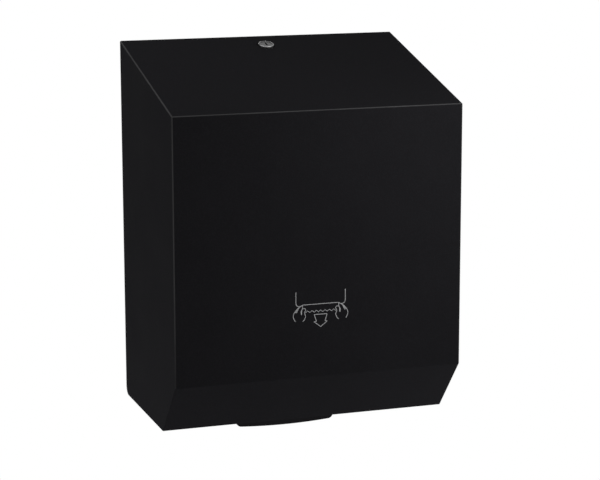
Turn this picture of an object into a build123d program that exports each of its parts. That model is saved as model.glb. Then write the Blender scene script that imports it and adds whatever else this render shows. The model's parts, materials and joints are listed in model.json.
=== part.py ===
from build123d import *
import math
import os

# A wall-mounted roll towel dispenser with a drum that cuts each towel as it is pulled.
# X runs across, +Z is up, the wall is the plane y = 0 and the front is at -Y.
# The origin is the centre of the four wall screw holes.
# All sizes are in millimetres. Heights named "..._height" are measured from the bottom edge of the cover.

# Fits
running = 0.06            # radial gap of a shaft that turns in its bore
seat = 0.02               # radial gap of a pressed, riveted or screwed seat
slack = 0.5               # gap between faces that move past each other

# Cover
case_width = 330.0
case_depth = 220.0
case_height = 415.0       # at the wall
top_fall = 59.0           # the front edge of the top lies this much lower than its back edge
chamfer_height = 62.0     # slanted lower front
chamfer_inset = 54.0
cover_sheet = 1.2
fold_radius = 1.6
corner_radius = 10.0      # rear lower corner of each side, which turns past the wall
cover_wall_gap = 0.5
bottom_return = 12.0
side_return = 10.0
top_return = 12.0

# Wall plate
plate_sheet = 1.5
plate_gap = 6.8           # between a side of the cover and a flange of the wall plate
plate_flange = 28.0
plate_bottom_gap = 3.0
plate_top_gap = 17.0
mount_height = 280.0
mount_spacing_x = 270.0
mount_spacing_z = 160.0
mount_hole = 6.5
rib_width = 16.0
rib_depth = 2.5
rib_length = 150.0
rib_spacing = 110.0

# Cover hinge
hinge_from_wall = 13.0
hinge_height = 10.0
hinge_pin = 6.0
hinge_leaf = 2.0
hinge_leaf_length = 40.0
hinge_leaf_width = 28.0
bush_wall = 1.5
bush_collar = 2.5
clip_sheet = 0.8
clip_depth = 0.6

# Lock and keeper
lock_from_wall = 30.2
lock_flange = 18.4
lock_flange_height = 2.2
lock_thread = 16.0
lock_body = 20.0
plug_diameter = 11.0
plug_head = 13.2
plug_head_height = 1.4
keyway_width = 1.8
keyway_length = 8.0
keyway_depth = 7.0
nut_flats = 20.0
nut_height = 5.0
washer_diameter = 22.0
washer_sheet = 1.0
cam_sheet = 2.0
cam_width = 10.0
cam_reach = 19.0
cam_hook = 8.0
cam_hub = 16.0
cam_tail = 7.6
cam_screw = 3.2
keeper_width = 12.0
keeper_sheet = 1.5
keeper_gap = 3.0          # play between the keeper and the hook of the cam
keeper_foot = 26.0
keeper_foot_width = 36.0
rivet = 4.0

# Side frames of the mechanism
side_bay = 38.0           # room beside each frame, for the crank and the feed wheel
frame_wall = 3.5
frame_rim = 8.0
frame_rim_wall = 2.5
frame_bottom_height = 14.0
frame_top_height = 184.0
frame_top_depth = 62.0
frame_front_reach = 51.0
frame_front_high = 33.0   # straight front edge, above and below the drum axis
frame_front_low = 38.0
frame_front_slant = 30.0
frame_pad = 4.0           # margin round the slot of the pinch bearing
frame_corner = 8.0
frame_foot = 16.0
frame_foot_length = 40.0
frame_foot_wall = 3.5
frame_screw = 5.0
screw_head_height = 2.6

# Drum
drum_from_wall = 125.0
drum_height = 95.0
drum_diameter = 88.0
drum_wall = 3.0
drum_shaft_diameter = 10.0
cap_wall = 3.0
cap_to_frame = 11.0
cap_hub = 24.0
cap_hub_length = 12.0
slot_angle = 120.0        # where the knife slot faces, from straight back over the top
slot_lead = 3.3           # degrees that the slot reaches ahead of the blade
slot_trail = 16.0         # degrees that the slot reaches behind the blade
shell_joint = 0.6         # degrees between the two half shells
boss_diameter = 7.2
boss_length = 12.0
cap_screw = 2.6
band_wall = 1.0
band_width = 18.0
band_count = 5
band_end_gap = 12.0       # from an end of the drum shell to the first band
bearing_diameter = 18.0
bearing_collar = 24.0
bearing_collar_wall = 1.5

# Knife
knife_pivot_out = 24.0    # pivot from the drum axis, along the slot and across it
knife_pivot_back = 26.0
knife_pivot = 6.0
knife_end_gap = 3.8
knife_seat_start = 21.0
knife_seat_end = 34.0
knife_bar_wall = 4.0
blade_reach = 42.0
blade_sheet = 0.8
tooth_pitch = 4.0
tooth_depth = 2.5
blade_rivet = 3.0
follower_out = 8.0
follower_back = 30.0
follower_sheet = 2.0
follower_roller_diameter = 8.0
follower_stud = 4.0
knife_turn = 20.0
cam_base = 2.0
cam_wall = 2.5
cam_track_gap = 0.8
cam_lobe = 7.0

# Crank, drive spring and feed wheel
crank_diameter = 56.0
crank_wall = 4.0
crank_gap = 2.7
crank_throw = 22.0
crank_pin_diameter = 6.0
crank_pin_length = 13.0
post_from_wall = 34.0
post_height = 62.0
spring_wire = 1.4
spring_coil = 11.0        # middle diameter
spring_pitch = 2.6
spring_turns = 20
eye_sheet = 2.5
eye_diameter = 12.0
eye_plug = 7.0            # length of each eye's plug inside the coil
housing_wall = 1.8
housing_gap = 3.0         # between the crank, the spring eye or the coil and the housing
housing_round = 3.0
wheel_diameter = 64.0
wheel_width = 15.0
wheel_gap = 3.7
wheel_scallops = 16
wheel_scallop = 8.0
wheel_dish = 5.0

# Pinch roller
pinch_angle = 55.0
pinch_gap = 0.4           # paper gap between the tyres and the drum bands
pinch_shaft_diameter = 8.0
tyre_diameter = 24.0
tyre_width = 22.0
pinch_block = 14.0
pinch_block_length = 16.0
pinch_block_lip = 2.0
pinch_block_edge = 3.0
pinch_spring_wire = 1.0
pinch_spring_coil = 7.0
pinch_spring_pitch = 1.9
pinch_spring_turns = 4

# Towel guides
guide_gap = 7.5           # between the drum and the guides
guide_wall = 2.5
guard_start = 148.0
guard_sweep = 98.0
guide_rear_start = -4.0
guide_rear_sweep = 50.0
tongue_from_wall = 95.2
tongue_wall = 3.0
tongue_straight = 106.0   # lower edge between its rounded corners
tongue_corner = 6.0
tongue_drop = 25.6        # below the bottom edge of the cover
tongue_bow = 2.0
tongue_shoulder_inset = 20.0
tab_sweep = 12.0          # degrees of arc of each tab that plugs into a frame
tie_rod = 8.0
tie_rear_from_wall = 30.0
tie_rear_height = 120.0
tie_front_from_wall = 140.0
tie_front_height = 30.0
tie_screw = 4.0

# Roll holder
towel_width = 210.0
arm_clearance = 3.0
arm_wall = 6.0
arm_width = 28.0
arm_root_width = 34.0
roll_from_wall = 112.0
roll_height = 283.0
arm_pivot_from_wall = 15.0
arm_pin = 5.0
arm_barrel = 13.0
arm_barrel_length = 20.0
lug_span = 36.0
lug_wall = 4.0
lug_width = 15.0
bracket_width = 28.0
bracket_height = 76.0
bracket_wall = 2.5
bracket_screw = 4.0
arm_spring_wire = 1.2
arm_spring_coil = 9.0
arm_spring_pitch = 2.0
arm_spring_turns = 5
arm_spring_leg = 16.0
hub_plug = 37.0
hub_plug_length = 14.0
hub_flange = 50.0
hub_flange_wall = 3.0
hub_rib = 2.0
hub_rib_rise = 1.3
hub_ribs = 6
axle = 8.0
axle_head = 13.0
axle_head_wall = 2.0

# Places that follow from the sizes above
bottom = -mount_height
top = bottom + case_height
slope = top_fall / case_depth
tilt = math.degrees(math.atan(slope))
half_width = case_width / 2
inner_half = half_width - cover_sheet
plate_half = inner_half - plate_gap
frame_half = inner_half - side_bay
frame_outer = frame_half + frame_wall
hinge_y = -hinge_from_wall
hinge_z = bottom + hinge_height
drum_y = -drum_from_wall
drum_z = bottom + drum_height
drum_radius = drum_diameter / 2
grip_radius = drum_radius + seat + band_wall
cap_outer = frame_half - cap_to_frame
cap_inner = cap_outer - cap_wall
guide_radius = drum_radius + guide_gap
tyre_radius = tyre_diameter / 2
pinch_distance = grip_radius + pinch_gap + tyre_radius
pinch_y = drum_y + pinch_distance * math.cos(math.radians(pinch_angle))
pinch_z = drum_z + pinch_distance * math.sin(math.radians(pinch_angle))
crank_inner = frame_outer + crank_gap
crank_outer = crank_inner + crank_wall
wheel_inner = frame_outer + wheel_gap
wheel_outer = wheel_inner + wheel_width
post_y = -post_from_wall
post_z = bottom + post_height
crank_pin_angle = math.degrees(math.atan2(post_z - drum_z, post_y - drum_y))
spring_x = crank_outer + 2 * slack + (spring_coil + spring_wire) / 2
roll_y = -roll_from_wall
roll_z = bottom + roll_height
arm_inner = towel_width / 2 + arm_clearance
arm_outer = arm_inner + arm_wall
arm_pivot_x = arm_inner + arm_wall / 2
arm_pivot_y = -arm_pivot_from_wall
tongue_width = tongue_straight + 2 * tongue_corner


def top_height(y):
    """Height of the outer face of the sloping top at the place y."""
    return top + slope * y


def block(x0, x1, y0, y1, z0, z1):
    """A box between two corners."""
    return Pos((x0 + x1) / 2, (y0 + y1) / 2, (z0 + z1) / 2) * Box(abs(x1 - x0), abs(y1 - y0), abs(z1 - z0))


def rod_x(diameter, x0, x1, y, z):
    """A round bar along X."""
    return Pos((x0 + x1) / 2, y, z) * Rot(0, 90, 0) * Cylinder(diameter / 2, abs(x1 - x0))


def rod_y(diameter, y0, y1, x, z):
    """A round bar along Y."""
    return Pos(x, (y0 + y1) / 2, z) * Rot(90, 0, 0) * Cylinder(diameter / 2, abs(y1 - y0))


def rod_z(diameter, z0, z1, x, y):
    """A round bar along Z."""
    return Pos(x, y, (z0 + z1) / 2) * Cylinder(diameter / 2, abs(z1 - z0))


def slab_x(face, x0, x1):
    """A face drawn in (y, z), thickened along X from x0 to x1."""
    return extrude(Plane.YZ.offset(min(x0, x1)) * face, amount=abs(x1 - x0), dir=(1, 0, 0))


def outline(points, radius=0.0):
    """A filled outline in (y, z), with its corners rounded if a radius is given."""
    face = Polygon(*points, align=None)
    return fillet(face.vertices(), radius) if radius else face


def band_x(inner, outer, start, sweep_angle, x0, x1, y=0.0, z=0.0):
    """Part of a tube along X, from a start angle (degrees from +Y towards +Z) over a sweep."""
    far = CenterArc((y, z), outer, start, sweep_angle)
    near = CenterArc((y, z), inner, start, sweep_angle)
    face = make_face([far, near, Line(far @ 0, near @ 0), Line(far @ 1, near @ 1)])
    return slab_x(face, x0, x1)


def together(shapes):
    """Separate solids of the same kind as one node."""
    return Compound([solid for shape in shapes for solid in shape.solids()])


def both_sides(shape):
    """A piece on the right side and its mirror image on the left."""
    return together([shape, mirror(shape, Plane.YZ)])


def left_of(shape):
    """The mirror image of a right-hand piece."""
    return mirror(shape, Plane.YZ)


def on_drum(shape):
    """Moves a piece drawn in the drum's own axes, with the knife slot along +Y, to its place."""
    return Pos(0, drum_y, drum_z) * Rot(slot_angle, 0, 0) * shape


def on_pinch(shape):
    """Moves a piece drawn with +Y pointing away from the drum to the pinch roller's place."""
    return Pos(0, pinch_y, pinch_z) * Rot(pinch_angle, 0, 0) * shape


lock_y = -lock_from_wall
lock_plane = Plane(
    origin=(0, lock_y, top_height(lock_y)),
    x_dir=(1, 0, 0),
    z_dir=(0, -math.sin(math.radians(tilt)), math.cos(math.radians(tilt))),
)


def on_lock(shape):
    """Moves a piece drawn with +Z out of the sloping top, at the lock, to its place."""
    return lock_plane.location * shape


def coil(name, middle, wire, pitch, turns, lead_in, lead_out):
    """A spring wound along +Z from z = 0: one unbroken wire with straight ends."""
    radius = middle / 2
    rise = pitch / (2 * math.pi * radius)

    def place(half):
        angle = math.pi * half
        return Vector(radius * math.cos(angle), radius * math.sin(angle), pitch * half / 2)

    def heading(half):
        angle = math.pi * half
        return Vector(-math.sin(angle), math.cos(angle), rise).normalized()

    def biarc(start, start_way, end, end_way):
        chord = end - start
        ways = start_way + end_way
        both = 2 * (1 - start_way.dot(end_way))
        across = chord.dot(ways)
        length = (-across + math.sqrt(across * across + both * chord.dot(chord))) / both
        first = start + start_way * length
        last = end - end_way * length
        middle_point = (first + last) * 0.5
        middle_way = (last - first).normalized()
        return [
            Edge.make_tangent_arc(start, start_way, middle_point),
            Edge.make_tangent_arc(middle_point, middle_way, end),
        ]

    edges = [Edge.make_line(place(0) - heading(0) * lead_in, place(0))]
    for half in range(2 * turns):
        edges += biarc(place(half), heading(half), place(half + 1), heading(half + 1))
    end = place(2 * turns)
    edges.append(Edge.make_line(end, end + heading(2 * turns) * lead_out))
    path = Wire(edges)
    section = Plane(origin=path @ 0, z_dir=heading(0)) * Circle(wire / 2)
    wound = sweep(section, path=path)

    steps = 40 * turns
    points = [path @ (step / steps) for step in range(steps + 1)]
    apart = math.pi * radius
    along = path.length / steps
    far = int(apart / along) + 1
    least = min(
        (points[i] - points[j]).length for i in range(len(points)) for j in range(i + far, len(points))
    )
    print(f"{name}: least gap between turns {least - wire:.2f}")
    return wound


def cover_shell():
    """The folded and welded cover: top, front, slanted lower front and two sides, open behind and below."""
    foot = -case_depth + chamfer_inset
    skin = outline([
        (-cover_wall_gap, top_height(-cover_wall_gap)),
        (-case_depth, top - top_fall),
        (-case_depth, bottom + chamfer_height),
        (foot, bottom),
        (-cover_wall_gap, bottom),
    ])
    shell = slab_x(skin, -half_width, half_width)
    folds = [
        edge for edge in shell.edges()
        if edge.center().Y < -cover_wall_gap - 0.1
        and not (abs(edge.center().Z - bottom) < 0.1 and abs(edge.center().X) > 1)
    ]
    shell = fillet(folds, fold_radius)
    past = 20.0
    lean = chamfer_inset / chamfer_height
    room = outline([
        (past, top_height(past)),
        (-case_depth, top - top_fall),
        (-case_depth, bottom + chamfer_height),
        (foot + lean * past, bottom - past),
        (past, bottom - past),
    ])
    shell -= slab_x(offset(room, -cover_sheet, kind=Kind.INTERSECTION), -inner_half, inner_half)
    lip_y = foot + bottom_return
    shell += block(-inner_half, inner_half, foot + cover_sheet / 2, lip_y, bottom, bottom + cover_sheet)
    inner_side = inner_half - side_return
    for side in (-1, 1):
        shell += block(
            side * inner_side, side * inner_half, lip_y, hinge_y - hinge_leaf_width,
            bottom, bottom + cover_sheet,
        )
    back_top = top_height(-cover_wall_gap) - cover_sheet / 2
    shell += block(
        -inner_half, inner_half, -cover_wall_gap - cover_sheet, -cover_wall_gap,
        back_top - top_return, back_top,
    )
    corner = block(
        -half_width - 1, half_width + 1, -cover_wall_gap - corner_radius, 1,
        bottom - 1, bottom + corner_radius,
    )
    corner -= rod_x(
        2 * corner_radius, -half_width - 2, half_width + 2,
        -cover_wall_gap - corner_radius, bottom + corner_radius,
    )
    shell -= corner
    return shell - on_lock(Cylinder(lock_thread / 2 + seat, 20))


def hinge_pieces():
    """Leaves inside the cover, pins, clips and the bushes in the wall plate."""
    leaf_inner = inner_half - hinge_leaf
    flange_inner = plate_half - plate_sheet
    leaf = block(
        leaf_inner, inner_half, hinge_y + 8, hinge_y + 8 - hinge_leaf_length,
        bottom + cover_sheet + seat, bottom + cover_sheet + hinge_leaf_width,
    )
    leaf = fillet(leaf.edges().filter_by(Axis.X), 4)
    leaf -= rod_x(hinge_pin + 2 * seat, leaf_inner - 1, inner_half + 1, hinge_y, hinge_z)
    pin_end = flange_inner - slack - 3.5
    groove_x = flange_inner - slack - clip_sheet
    groove = hinge_pin - 2 * clip_depth
    pin = rod_x(hinge_pin, pin_end, inner_half, hinge_y, hinge_z)
    ring = rod_x(hinge_pin + 2, groove_x - seat, groove_x + clip_sheet + seat, hinge_y, hinge_z)
    pin -= ring - rod_x(groove, pin_end, inner_half, hinge_y, hinge_z)
    clip = rod_x(hinge_pin + 5, groove_x, groove_x + clip_sheet, hinge_y, hinge_z)
    clip -= rod_x(groove + 2 * seat, groove_x - 1, groove_x + 2, hinge_y, hinge_z)
    clip -= block(groove_x - 1, groove_x + 2, hinge_y - 10, hinge_y, hinge_z - 1.6, hinge_z + 1.6)
    bush = rod_x(hinge_pin + 2 * bush_wall, flange_inner, plate_half, hinge_y, hinge_z)
    bush += rod_x(
        hinge_pin + 2 * bush_wall + 2 * bush_collar, plate_half, plate_half + bush_wall, hinge_y, hinge_z
    )
    bush -= rod_x(hinge_pin + 2 * running, flange_inner - 1, plate_half + 5, hinge_y, hinge_z)
    return {
        "hinge_brackets": both_sides(leaf),
        "hinge_pins": both_sides(pin),
        "hinge_clips": both_sides(clip),
        "hinge_bushes": both_sides(bush),
    }


def disc(diameter, low, high):
    """A round disc on the Z axis."""
    return Pos(0, 0, (low + high) / 2) * Cylinder(diameter / 2, high - low)


def lock_pieces():
    """The key lock in the top and the keeper on the wall plate that its cam hooks behind."""
    head_low = lock_flange_height - plug_head_height - 0.3
    barrel = disc(lock_flange, 0, lock_flange_height)
    barrel = fillet(barrel.edges().group_by(Axis.Z)[-1], 0.9)
    barrel += disc(lock_thread, -lock_body, 0)
    barrel -= disc(plug_diameter + 2 * running, -lock_body - 1, lock_flange_height + 1)
    barrel -= disc(plug_head + 2 * running, head_low - 0.1, lock_flange_height + 1)
    washer_low = -cover_sheet - washer_sheet
    washer = disc(washer_diameter, washer_low, -cover_sheet)
    washer -= disc(lock_thread + 2 * seat, washer_low - 1, 0)
    nut = extrude(RegularPolygon(nut_flats / 2, 6, major_radius=False), nut_height)
    nut = Pos(0, 0, washer_low - nut_height) * nut
    nut -= disc(lock_thread + 2 * seat, washer_low - nut_height - 1, washer_low + 1)
    cam_top = -lock_body - slack
    cam_low = cam_top - cam_sheet
    plug = disc(plug_diameter, cam_top, head_low)
    plug += disc(plug_head, head_low, head_low + plug_head_height)
    plug += disc(cam_tail, cam_low, cam_top)
    plug_face = head_low + plug_head_height
    plug -= Pos(0, 0, plug_face) * Box(keyway_width, keyway_length, 2 * keyway_depth)
    plug -= Pos(0, 0, cam_low) * Cylinder(cam_screw / 2 + seat, lock_body)
    cam = disc(cam_hub, cam_low, cam_top)
    cam += block(0, cam_reach, -cam_width / 2, cam_width / 2, cam_low, cam_top)
    cam += block(
        cam_reach - cam_sheet, cam_reach, -cam_width / 2, cam_width / 2, cam_low - cam_hook, cam_top
    )
    cam -= disc(cam_tail + 2 * seat, cam_low - 1, cam_top + 1)
    head_top = cam_low
    screw = disc(2.4 * cam_screw, head_top - screw_head_height, head_top)
    screw += disc(cam_screw, head_top, head_top + lock_body / 2 - 1)
    screw -= Pos(0, 0, head_top - screw_head_height) * Box(1, 3 * cam_screw, 1.6)

    tab_back = cam_reach - cam_sheet - keeper_gap
    leg_low = cam_low - cam_hook - 3.5
    tab = block(
        -keeper_width / 2, keeper_width / 2, tab_back - keeper_sheet, tab_back, leg_low, cam_low - slack
    )
    leg = block(
        -keeper_width / 2, keeper_width / 2, tab_back - keeper_sheet, tab_back + lock_from_wall,
        leg_low, leg_low + keeper_sheet,
    )
    bent = on_lock(tab + leg)
    reach = [vertex.Z for vertex in on_lock(leg).vertices()]
    foot_top = min(reach) + 6
    foot = block(
        -keeper_foot_width / 2, keeper_foot_width / 2, -plate_sheet - keeper_sheet, -plate_sheet,
        foot_top - keeper_foot, foot_top,
    )
    foot = fillet(foot.edges().filter_by(Axis.Y), 4)
    behind = block(-half_width, half_width, -plate_sheet, case_depth, bottom, top + top_fall)
    keeper = (bent - behind) + foot
    rivet_z = foot_top - keeper_foot / 2 - 2
    rivets = []
    for side in (-1, 1):
        x = side * keeper_foot_width / 3
        front = -plate_sheet - keeper_sheet
        stem = rod_y(rivet, front, -0.1, x, rivet_z)
        head = Pos(x, front, rivet_z) * Sphere(rivet)
        head &= block(x - rivet, x + rivet, front, front - rivet / 2, rivet_z - rivet, rivet_z + rivet)
        rivets.append(stem + head)
        keeper -= rod_y(rivet + 2 * seat, front - 1, 0, x, rivet_z)
    pieces = {
        "lock_barrel": on_lock(barrel),
        "lock_washer": on_lock(washer),
        "lock_nut": on_lock(nut),
        "lock_plug": on_lock(plug),
        "lock_cam": on_lock(cam),
        "cam_screw": on_lock(screw),
        "keeper": keeper,
        "keeper_rivets": together(rivets),
    }
    rivet_places = [(side * keeper_foot_width / 3, rivet_z) for side in (-1, 1)]
    return pieces, rivet_places


def wall_plate(rivet_places, screw_places):
    """The folded wall plate that carries everything, with the four wall holes round the origin."""
    low = bottom + plate_bottom_gap
    high = top - plate_top_gap
    plate = block(-plate_half, plate_half, -plate_sheet, 0, low, high)
    for side in (-1, 1):
        flange = block(side * (plate_half - plate_sheet), side * plate_half, -plate_flange, 0, low, high)
        flange = fillet(
            flange.edges().filter_by(Axis.X).sort_by(Axis.Y)[:2], min(10.0, plate_flange / 3)
        )
        plate += flange
        x = side * rib_spacing / 2
        middle = (low + high) / 2 + 20
        rib = block(
            x - rib_width / 2, x + rib_width / 2, -plate_sheet - rib_depth, 0,
            middle - rib_length / 2, middle + rib_length / 2,
        )
        rib = chamfer(rib.faces().sort_by(Axis.Y)[0].edges(), rib_depth - 0.1)
        plate += rib
        hollow = block(
            x - rib_width / 2 + plate_sheet, x + rib_width / 2 - plate_sheet, -rib_depth, 1,
            middle - rib_length / 2 + plate_sheet, middle + rib_length / 2 - plate_sheet,
        )
        plate -= chamfer(hollow.faces().sort_by(Axis.Y)[0].edges(), rib_depth - 0.1)
    for x in (-mount_spacing_x / 2, mount_spacing_x / 2):
        for z in (-mount_spacing_z / 2, mount_spacing_z / 2):
            plate -= rod_y(mount_hole, -plate_sheet - 1, 1, x, z)
    for x, z in rivet_places:
        plate -= rod_y(rivet + 2 * seat, -plate_sheet - 1, 1, x, z)
    for x, z, size in screw_places:
        plate -= rod_y(size + 2 * seat, -plate_sheet - 1, 1, x, z)
    hole = hinge_pin + 2 * bush_wall + 2 * seat
    return plate - rod_x(hole, -plate_half - 1, plate_half + 1, hinge_y, hinge_z)


def pan_screw(size, length):
    """A pan-head screw along +Z with its head seated on z = 0 and a cross slot."""
    head = disc(1.9 * size, 0, screw_head_height)
    head = fillet(head.edges().group_by(Axis.Z)[-1], screw_head_height / 3)
    slot = Box(0.25 * size, 1.2 * size, 2) + Box(1.2 * size, 0.25 * size, 2)
    return head - Pos(0, 0, screw_head_height) * slot + disc(size, -length, 0)


def screw_from_front(size, length, x, y, z):
    """A pan-head screw driven towards the wall, its head seated at y."""
    return Pos(x, y, z) * Rot(90, 0, 0) * pan_screw(size, length)


def screw_from_right(size, length, x, y, z):
    """A pan-head screw driven towards -X, its head seated at x."""
    return Pos(x, y, z) * Rot(0, 90, 0) * pan_screw(size, length)


def frame_screw_places():
    """Where the feet of the right frame are screwed to the wall plate: x, z."""
    x = frame_outer + frame_foot / 2 + 2
    low = bottom + frame_bottom_height + frame_foot_length / 2 + 4
    high = bottom + frame_top_height - frame_foot_length / 2 - 4
    return [(x, low), (x, high)]


def tie_places():
    """Where the two tie rods cross: y, z."""
    return [
        (-tie_rear_from_wall, bottom + tie_rear_height),
        (-tie_front_from_wall, bottom + tie_front_height),
    ]


def guide_tabs():
    """The arcs where the guides plug into the frames: start angle, sweep."""
    return [
        (guard_start + 6, tab_sweep),
        (guard_start + guard_sweep - 6 - tab_sweep, tab_sweep),
        (guide_rear_start - 4 - tab_sweep, tab_sweep),
        (guide_rear_start - guide_rear_sweep + 6, tab_sweep),
    ]


def pinch_slot():
    """Near and far end of a frame's slot for the pinch bearing and its spring, from the roller's axis."""
    spring_room = pinch_spring_pitch * pinch_spring_turns + 2 * pinch_spring_wire + 0.4
    return -pinch_block_length / 2 - slack, pinch_block_length / 2 + spring_room


def side_frame():
    """The right side frame of the mechanism, seen as a ribbed plastic plate with two feet."""
    back = -plate_sheet
    low = bottom + frame_bottom_height
    high = bottom + frame_top_height
    front = drum_y - frame_front_reach
    edge = outline([
        (back, low), (back, high), (-frame_top_depth, high),
        (front, drum_z + frame_front_high), (front, drum_z - frame_front_low),
        (front + frame_front_slant, low),
    ], frame_corner)
    pad_half = pinch_block / 2 + pinch_block_edge + frame_pad
    near, far = pinch_slot()
    middle = pinch_distance + (near + far) / 2
    turn = math.radians(pinch_angle)
    pad_place = Pos(drum_y + middle * math.cos(turn), drum_z + middle * math.sin(turn))
    pad = Rectangle(far - near + 2 * frame_pad, 2 * pad_half)
    edge += pad_place * Rot(0, 0, pinch_angle) * pad
    edge += Pos(drum_y, drum_z) * Circle(cam_ring_radius() + frame_pad)
    frame = slab_x(edge, frame_half, frame_outer)
    rim = slab_x(edge, frame_half, frame_outer + frame_rim)
    rim -= slab_x(offset(edge, -frame_rim_wall), frame_half - 1, frame_outer + frame_rim + 1)
    frame += rim
    for x, z in frame_screw_places():
        foot = block(
            frame_outer - 0.5, frame_outer + frame_foot + 2, back, back - frame_foot_wall,
            z - frame_foot_length / 2, z + frame_foot_length / 2,
        )
        foot = fillet(foot.edges().filter_by(Axis.Y).sort_by(Axis.X)[-2:], 5)
        frame += foot
        frame -= rod_y(frame_screw + 0.2, back - 10, 1, x, z)
    frame -= rod_x(bearing_diameter + 2 * seat, frame_half - 1, frame_outer + 1, drum_y, drum_z)
    for y, z in tie_places():
        frame -= rod_x(tie_screw + 0.2, frame_half - 1, frame_outer + 1, y, z)
    for start, sweep_angle in guide_tabs():
        frame -= band_x(
            guide_radius - 0.1, guide_radius + guide_wall + 0.1, start - 0.3, sweep_angle + 0.6,
            frame_half - 1, frame_outer + 1, drum_y, drum_z,
        )
    slot = block(
        frame_half - 1, frame_outer + 1, near, far, -pinch_block / 2 - 0.2, pinch_block / 2 + 0.2
    )
    return frame - on_pinch(slot)


def frame_pieces():
    """Both side frames, their screws, the tie rods and the drum bearings."""
    right = side_frame()
    left = left_of(right)
    left_face = -frame_outer
    cam_angles = (100.0, 220.0, 340.0)
    cam_screws = []
    ring_radius = cam_ring_radius() - 3.0
    for angle in cam_angles:
        y = drum_y + ring_radius * math.cos(math.radians(angle))
        z = drum_z + ring_radius * math.sin(math.radians(angle))
        left -= rod_x(cap_screw + 0.2, left_face - 1, -frame_half + 1, y, z)
        screw = screw_from_right(cap_screw, frame_wall + cam_base - 0.3, frame_outer, y, z)
        cam_screws.append(left_of(screw))
    right -= rod_x(crank_pin_diameter + 2 * seat, frame_half - 1, frame_outer + 1, post_y, post_z)
    screws = []
    for x, z in frame_screw_places():
        seat_y = -plate_sheet - frame_foot_wall
        screws.append(screw_from_front(frame_screw, -seat_y - 0.1, x, seat_y, z))
    rods = []
    rod_screws = []
    for y, z in tie_places():
        rod = rod_x(tie_rod, -frame_half, frame_half, y, z)
        drill = 12.0
        rod -= rod_x(tie_screw + 2 * seat, frame_half - drill, frame_half + 1, y, z)
        rod -= rod_x(tie_screw + 2 * seat, -frame_half - 1, -frame_half + drill, y, z)
        rods.append(rod)
        rod_screws.append(screw_from_right(tie_screw, frame_wall + drill - 2, frame_outer, y, z))
    bearing = rod_x(bearing_diameter, frame_half, frame_outer, drum_y, drum_z)
    bearing += rod_x(bearing_collar, frame_outer, frame_outer + bearing_collar_wall, drum_y, drum_z)
    bearing -= rod_x(drum_shaft_diameter + 2 * running, frame_half - 1, frame_outer + 5, drum_y, drum_z)
    return {
        "left_frame": left,
        "right_frame": right,
        "frame_screws": both_sides(together(screws)),
        "cam_screws": together(cam_screws),
        "tie_rods": together(rods),
        "tie_rod_screws": both_sides(together(rod_screws)),
        "right_drum_bush": bearing,
        "one_way_bearing": left_of(bearing),
    }


def follower_radii():
    """Distances of the follower roller from the drum axis over the knife's whole turn."""
    radii = []
    for step in range(9):
        turn = math.radians(-knife_turn * step / 8)
        across = follower_out - knife_pivot_out
        along = -follower_back + knife_pivot_back
        y = knife_pivot_out + across * math.cos(turn) - along * math.sin(turn)
        z = -knife_pivot_back + across * math.sin(turn) + along * math.cos(turn)
        radii.append(math.hypot(y, z))
    return radii


def cam_ring_radius():
    """Outer radius of the cam ring's base, as wide as its track and wall."""
    return max(follower_radii()) + follower_roller_diameter / 2 + cam_track_gap + cam_wall + cam_lobe


def cam_ring():
    """The ring on the left frame whose track the knife's roller runs in."""
    roller = follower_roller_diameter / 2
    track_out = max(follower_radii()) + roller + cam_track_gap
    track_in = min(follower_radii()) - roller - cam_track_gap
    face = -frame_half
    base = face + cam_base
    wall_end = -cap_outer - 2 * slack - follower_sheet - slack
    ring = rod_x(2 * cam_ring_radius(), face, base, drum_y, drum_z)
    lobe_y = drum_y + cam_lobe * math.cos(math.radians(slot_angle))
    lobe_z = drum_z + cam_lobe * math.sin(math.radians(slot_angle))
    ring += rod_x(2 * (track_out + cam_wall), face, wall_end, drum_y, drum_z)
    ring += rod_x(2 * (track_out + cam_wall - 2), face, wall_end, lobe_y, lobe_z)
    ring -= rod_x(2 * track_out, base, wall_end + 5, drum_y, drum_z)
    ring -= rod_x(2 * (track_out - 2), base, wall_end + 5, lobe_y, lobe_z)
    ring += rod_x(2 * track_in, base - 0.5, wall_end, drum_y, drum_z)
    ring -= rod_x(2 * (track_in - cam_wall), face - 1, wall_end + 5, drum_y, drum_z)
    for angle in (100.0, 220.0, 340.0):
        y = drum_y + (cam_ring_radius() - 3.0) * math.cos(math.radians(angle))
        z = drum_z + (cam_ring_radius() - 3.0) * math.sin(math.radians(angle))
        ring -= rod_x(cap_screw + 2 * seat, face - 1, base + 1, y, z)
    return ring


def band_places():
    """Middles of the rubber bands along the drum, which the tyres of the pinch roller face."""
    spread = 2 * (cap_inner - band_end_gap) - band_width
    return [-spread / 2 + spread * number / (band_count - 1) for number in range(band_count)]


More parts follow.
